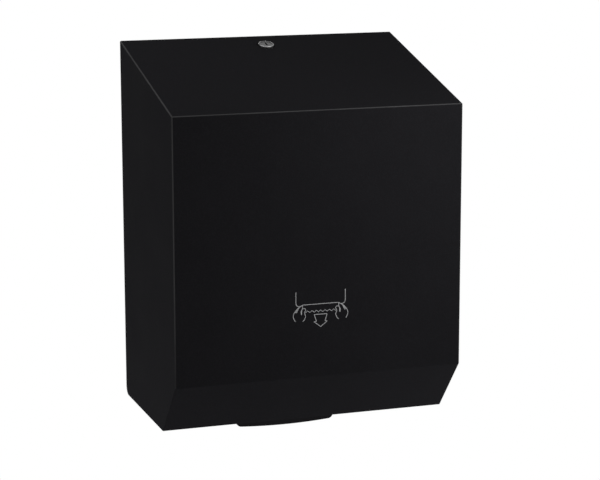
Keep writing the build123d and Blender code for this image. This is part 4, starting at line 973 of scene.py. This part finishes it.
class DISPENSER_OT_wind_springs(bpy.types.Operator):
    """Winds the springs of the roll arms and the pinch roller"""

    bl_idname = "dispenser.wind_springs"
    bl_label = "Wind springs"

    def execute(self, context):
        sizes = context.scene.dispenser_sizes
        wire = bpy.data.materials["Spring wire"]
        tree = coil_tree()
        for wind in (self.wind_arm_spring, self.wind_pinch_spring):
            for side, hand in ((1, "right"), (-1, "left")):
                wind(sizes, tree, wire, side, hand)
        return {"FINISHED"}

    def wind_arm_spring(self, sizes, tree, wire, side, hand):
        """A torsion spring round an arm's pin, from the wall plate's bracket to the arm."""
        name = hand + "_arm_spring"
        pivot = Vector(joints[hand + "_arm_swing"]["pos_m"])
        low = Vector((pivot.x, pivot.y, arm_spring_low.z + sizes.arm_wire / 2))
        high = Vector((pivot.x, pivot.y, arm_spring_high.z - sizes.arm_wire / 2))
        piece = make_piece(name, tree, {
            "Radius": sizes.arm_coil / 2,
            "Wire": sizes.arm_wire,
            "Turns": sizes.arm_turns,
            "Height": high.z - low.z,
            "Leg": (0.0, -side * sizes.arm_leg, 0.0),
            "Left-handed": side > 0,
            "Turn": (0.0, 0.0, 0.0 if side > 0 else math.pi),
            "Place": tuple(low),
            "Material": wire,
        })
        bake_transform(piece)
        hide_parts("arm_springs")

    def wind_pinch_spring(self, sizes, tree, wire, side, hand):
        """A compression spring between the pinch roller's bearing and its frame."""
        name = hand + "_pinch_spring"
        middle = pinch_spring_high.x - (sizes.pinch_coil + sizes.pinch_wire) / 2
        lean = math.atan2(pinch_way.z, pinch_way.y)
        near = pinch_axis + pinch_way * sizes.pinch_start
        piece = make_piece(name, tree, {
            "Radius": sizes.pinch_coil / 2,
            "Wire": sizes.pinch_wire,
            "Turns": sizes.pinch_turns,
            "Height": sizes.pinch_length,
            "Leg": (0.0, side * sizes.pinch_leg, 0.0),
            "Left-handed": side < 0,
            "Turn": (lean - math.pi / 2, 0.0, 0.0),
            "Place": (side * middle, near.y, near.z),
            "Material": wire,
        })
        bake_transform(piece)
        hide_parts("pinch_springs")


def area_lamp(name, azimuth, elevation, distance, level):
    """A square soft lamp that faces the middle of the object."""
    middle = (Vector(cad_box[0]) + Vector(cad_box[1])) / 2
    turn, rise = math.radians(azimuth), math.radians(elevation)
    back = Vector((math.sin(turn) * math.cos(rise), -math.cos(turn) * math.cos(rise), math.sin(rise)))
    data = bpy.data.lights.new(name, "AREA")
    data.shape = "SQUARE"
    data.size = LAMP_GROWTH * distance + LAMP_LEAST
    data.energy = level * LAMP_POWER * data.size * data.size
    lamp = bpy.data.objects.new(name, data)
    lamp.location = middle + back * distance
    lamp.rotation_mode = "QUATERNION"
    lamp.rotation_quaternion = (-back).to_track_quat("-Z", "Y")
    lamp.visible_camera = False
    bpy.context.scene.collection.objects.link(lamp)


def seen_rays(tree):
    """1 for rays from the camera, mirrors and glass, 0 for the rest."""
    rays = add(tree, "ShaderNodeLightPath").outputs
    shown = math_node(tree, "MAXIMUM", rays["Is Camera Ray"], rays["Is Glossy Ray"])
    return math_node(tree, "MAXIMUM", shown, rays["Is Transmission Ray"])


def pale_floor():
    """Pale near the object, where its shadow falls, white further out, and clear from below."""
    material = bpy.data.materials.new("Pale floor")
    material.use_nodes = True
    tree = material.node_tree
    tree.nodes.clear()
    shown = seen_rays(tree)
    pale = add(tree, "ShaderNodeBsdfDiffuse", {"Color": PALE})
    own_light = math_node(tree, "MULTIPLY", shown, FLOOR_GLOW)
    glow = add(tree, "ShaderNodeEmission", {"Color": WHITE, "Strength": own_light})
    near = add(tree, "ShaderNodeAddShader", {0: pale.outputs[0], 1: glow.outputs[0]})
    far = add(tree, "ShaderNodeEmission", {"Color": WHITE, "Strength": 1.0})
    coords = add(tree, "ShaderNodeTexCoord")
    away = stretch_range(tree, level_length(tree, coords.outputs["Object"]), FLOOR_FADE)
    fade = math_node(tree, "MULTIPLY", shown, away)
    above = add(tree, "ShaderNodeMixShader", {0: fade, 1: near.outputs[0], 2: far.outputs[0]})
    below = add(tree, "ShaderNodeBsdfTransparent")
    side = add(tree, "ShaderNodeNewGeometry").outputs["Backfacing"]
    both = add(tree, "ShaderNodeMixShader", {0: side, 1: above.outputs[0], 2: below.outputs[0]})
    add(tree, "ShaderNodeOutputMaterial", {"Surface": both.outputs[0]})
    return material


class DISPENSER_OT_set_stage(bpy.types.Operator):
    """Sets the floor, the even light, the lamps and the camera"""

    bl_idname = "dispenser.set_stage"
    bl_label = "Set stage"

    def execute(self, context):
        scene = context.scene
        studio = scene.dispenser_studio
        self.add_floor(scene, studio)
        self.set_world(scene, studio)
        for name, place in LAMPS.items():
            area_lamp(name + "_lamp", *place, getattr(studio, name))
        self.add_camera(scene, studio)
        scene.view_settings.view_transform = "Standard"
        return {"FINISHED"}

    def add_floor(self, scene, studio):
        """A level square below the object."""
        ways = ((-1, -1), (1, -1), (1, 1), (-1, 1))
        corners = [(x * FLOOR_HALF, y * FLOOR_HALF, -studio.floor_drop) for x, y in ways]
        mesh = bpy.data.meshes.new("floor")
        mesh.from_pydata(corners, [], [(0, 1, 2, 3)])
        mesh.materials.append(pale_floor())
        floor = bpy.data.objects.new("floor", mesh)
        scene.collection.objects.link(floor)

    def set_world(self, scene, studio):
        """White to the camera, mirrors and glass, and a soft even light on everything."""
        scene.world = bpy.data.worlds.new("Studio")
        scene.world.use_nodes = True
        tree = scene.world.node_tree
        tree.nodes.clear()
        strength = stretch_range(tree, seen_rays(tree), (0.0, 1.0), (studio.sky, 1.0))
        sky = add(tree, "ShaderNodeBackground", {"Color": WHITE, "Strength": strength})
        add(tree, "ShaderNodeOutputWorld", {"Surface": sky.outputs[0]})

    def add_camera(self, scene, studio):
        """The camera at the viewing angle of the photograph."""
        level = Vector((math.sin(CAMERA_YAW), math.cos(CAMERA_YAW), 0.0))
        right = Vector((math.cos(CAMERA_YAW), -math.sin(CAMERA_YAW), 0.0))
        high = Vector((0.0, 0.0, 1.0))
        forward = level * math.cos(CAMERA_PITCH) - high * math.sin(CAMERA_PITCH)
        up = high * math.cos(CAMERA_PITCH) + level * math.sin(CAMERA_PITCH)
        across = right * math.cos(CAMERA_ROLL) + up * math.sin(CAMERA_ROLL)
        upward = up * math.cos(CAMERA_ROLL) - right * math.sin(CAMERA_ROLL)
        turn = Matrix((across, upward, -forward)).transposed().to_4x4()
        data = bpy.data.cameras.new("camera")
        data.lens = studio.lens
        data.sensor_width = SENSOR_WIDTH
        data.clip_start = 0.05
        data.clip_end = 200.0
        camera = bpy.data.objects.new("camera", data)
        camera.matrix_world = Matrix.Translation(CAMERA_PLACE) @ turn
        scene.collection.objects.link(camera)
        scene.camera = camera


STEPS = (
    DISPENSER_OT_paint_cover,
    DISPENSER_OT_paint_plastics,
    DISPENSER_OT_paint_metals,
    DISPENSER_OT_print_sign,
    DISPENSER_OT_add_welds,
    DISPENSER_OT_add_grip_ribs,
    DISPENSER_OT_wind_springs,
    DISPENSER_OT_set_stage,
)
GROUPS = {
    "dispenser_colours": DispenserColours,
    "dispenser_sizes": DispenserSizes,
    "dispenser_studio": DispenserStudio,
}


class DISPENSER_PT_steps(bpy.types.Panel):
    """Steps and settings of the dispenser"""

    bl_idname = "DISPENSER_PT_steps"
    bl_label = "Roll towel dispenser"
    bl_space_type = "VIEW_3D"
    bl_region_type = "UI"
    bl_category = "Dispenser"

    def draw(self, context):
        for step in STEPS:
            self.layout.operator(step.bl_idname)
        for name in GROUPS:
            settings = getattr(context.scene, name)
            box = self.layout.box()
            for key in settings.__annotations__:
                box.prop(settings, key)


CLASSES = (*GROUPS.values(), *STEPS, DISPENSER_PT_steps)


def register():
    for cls in CLASSES:
        bpy.utils.register_class(cls)
    for name, cls in GROUPS.items():
        setattr(bpy.types.Scene, name, bpy.props.PointerProperty(type=cls))


def unregister():
    for name in GROUPS:
        delattr(bpy.types.Scene, name)
    for cls in reversed(CLASSES):
        bpy.utils.unregister_class(cls)


def main():
    register()
    for step in STEPS:
        getattr(bpy.ops.dispenser, step.bl_idname.split(".")[1])()


if __name__ == "__main__":
    main()
